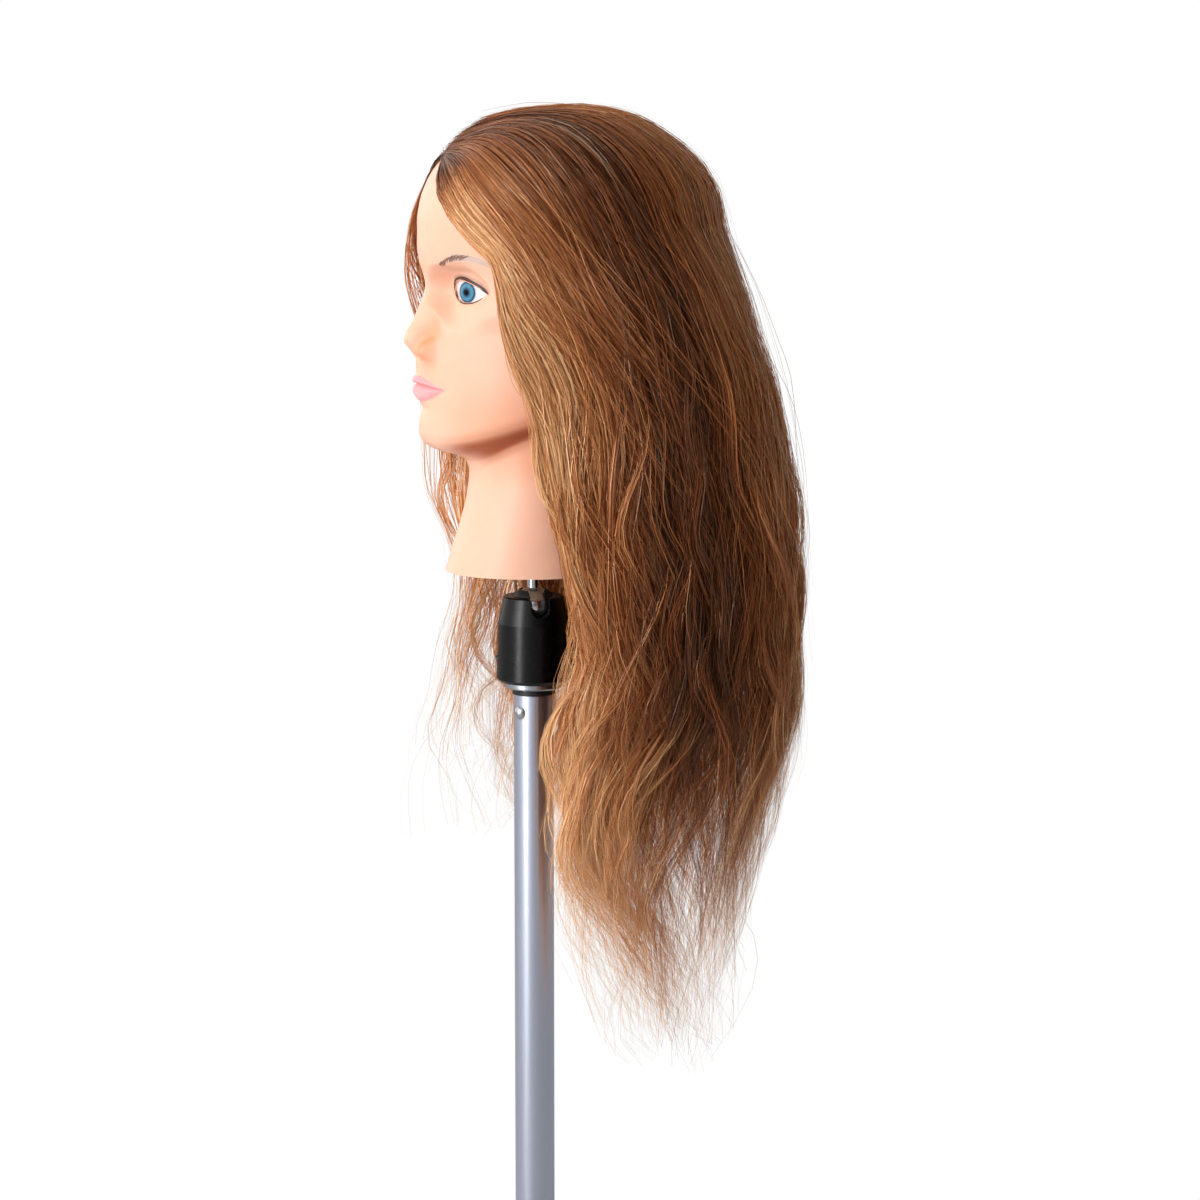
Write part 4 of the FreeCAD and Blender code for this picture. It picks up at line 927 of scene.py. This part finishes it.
floor_material = material("pale_floor", srgb(190, 190, 190), 0.9, mottle=(3.0, srgb(182, 182, 182)))
floor_nodes, floor_links = floor_material.node_tree.nodes, floor_material.node_tree.links
glow = floor_nodes.new("ShaderNodeEmission")
glow.inputs["Color"].default_value = (1, 1, 1, 1)
either = floor_nodes.new("ShaderNodeMixShader")
floor_links.new(floor_nodes.new("ShaderNodeLightPath").outputs["Is Camera Ray"], either.inputs["Fac"])
floor_links.new(floor_nodes["Principled BSDF"].outputs["BSDF"], either.inputs[1])
floor_links.new(glow.outputs["Emission"], either.inputs[2])
floor_links.new(either.outputs["Shader"], floor_nodes["Material Output"].inputs["Surface"])
FLOOR_HALF, FLOOR_HEIGHT = 30000, -0.2
floor_corners = [(FLOOR_HALF * x, FLOOR_HALF * y, FLOOR_HEIGHT) for x, y in ((-1, -1), (1, -1), (1, 1), (-1, 1))]
floor = add_mesh("floor", floor_corners, [[0, 1, 2, 3]], [floor_material])

# Where the camera stands round the object, and the ways towards it and to its right.
AZIMUTH = math.radians(76)
TO_CAMERA = Vector((math.sin(AZIMUTH), -math.cos(AZIMUTH), 0))
TO_RIGHT = Vector((math.cos(AZIMUTH), math.sin(AZIMUTH), 0))
scene = bpy.context.scene
world = bpy.data.worlds.new("studio") if scene.world is None else scene.world
scene.world = world
world.use_nodes = True
sky_nodes, sky_links = world.node_tree.nodes, world.node_tree.links
seen = sky_nodes["Background"]
seen.inputs["Color"].default_value = (1, 1, 1, 1)
lit = sky_nodes.new("ShaderNodeBackground")
lit.inputs["Strength"].default_value = 1.0
facing = sky_nodes.new("ShaderNodeNewGeometry").outputs["Incoming"]


def sky_side(towards, start, full, amount):
    """Light from one side of the studio: none from 'start' on, all of 'amount' from 'full' on."""
    along = sky_nodes.new("ShaderNodeVectorMath")
    along.operation = "DOT_PRODUCT"
    along.inputs[1].default_value = -towards.normalized()
    sky_links.new(facing, along.inputs[0])
    fade = sky_nodes.new("ShaderNodeMapRange")
    fade.interpolation_type = "SMOOTHSTEP"
    for socket, value in (("From Min", start), ("From Max", full), ("To Min", 0.0), ("To Max", amount)):
        fade.inputs[socket].default_value = value
    sky_links.new(along.outputs["Value"], fade.inputs["Value"])
    return fade.outputs["Result"]


def added(a, b):
    """The sum of two sockets, or of a socket and a number."""
    both = sky_nodes.new("ShaderNodeMath")
    both.operation = "ADD"
    both.use_clamp = False
    for k, part in enumerate((a, b)):
        if isinstance(part, float):
            both.inputs[k].default_value = part
        else:
            sky_links.new(part, both.inputs[k])
    return both.outputs["Value"]


UP = Vector((0, 0, 1))
from_left = sky_side(-TO_RIGHT * 0.85 + TO_CAMERA * 0.2 + UP * 0.3, 0.0, 0.9, 0.85)
from_behind = sky_side(-TO_CAMERA + UP * 0.1, 0.35, 0.8, 1.0)
sky_links.new(added(added(from_left, from_behind), 0.12), lit.inputs["Color"])
choose = sky_nodes.new("ShaderNodeMixShader")
sky_links.new(sky_nodes.new("ShaderNodeLightPath").outputs["Is Camera Ray"], choose.inputs["Fac"])
sky_links.new(lit.outputs["Background"], choose.inputs[1])
sky_links.new(seen.outputs["Background"], choose.inputs[2])
sky_links.new(choose.outputs["Shader"], sky_nodes["World Output"].inputs["Surface"])
scene.view_settings.view_transform = "Standard"


def soft_light(name, right, toward, up, wide, tall, power):
    """A soft box, placed from the camera's point of view, facing the object."""
    data = bpy.data.lights.new(name, "AREA")
    data.shape, data.size, data.size_y, data.energy = "RECTANGLE", wide, tall, power
    lamp = bpy.data.objects.new(name, data)
    bpy.context.scene.collection.objects.link(lamp)
    lamp.location = TO_RIGHT * right + TO_CAMERA * toward + Vector((0, 0, up))
    lamp.rotation_euler = (Vector((0, 0, 0.5)) - lamp.location).to_track_quat("-Z", "Y").to_euler()


soft_light("key", -2.0, 1.1, 1.3, 0.7, 0.9, 14)
soft_light("strip", -1.5, 1.45, 0.45, 0.46, 1.9, 29)
soft_light("front", -0.8, 2.4, 1.8, 1.6, 1.6, 2)

camera_data = bpy.data.cameras.new("camera")
camera = bpy.data.objects.new("camera", camera_data)
scene.collection.objects.link(camera)
CAMERA_AWAY, CAMERA_ABOVE, HALF_VIEW = 2.2, 0.33, 0.375
aim = TO_RIGHT * 0.0416 + Vector((0, 0, 0.400))
camera.location = aim + TO_CAMERA * CAMERA_AWAY + Vector((0, 0, CAMERA_ABOVE))
camera.rotation_mode = "QUATERNION"
camera.rotation_quaternion = (aim - camera.location).to_track_quat("-Z", "Y")
camera_data.sensor_width = 36
camera_data.lens = camera_data.sensor_width / 2 * (aim - camera.location).length / HALF_VIEW
camera_data.clip_start, camera_data.clip_end = 0.1, 60
scene.camera = camera
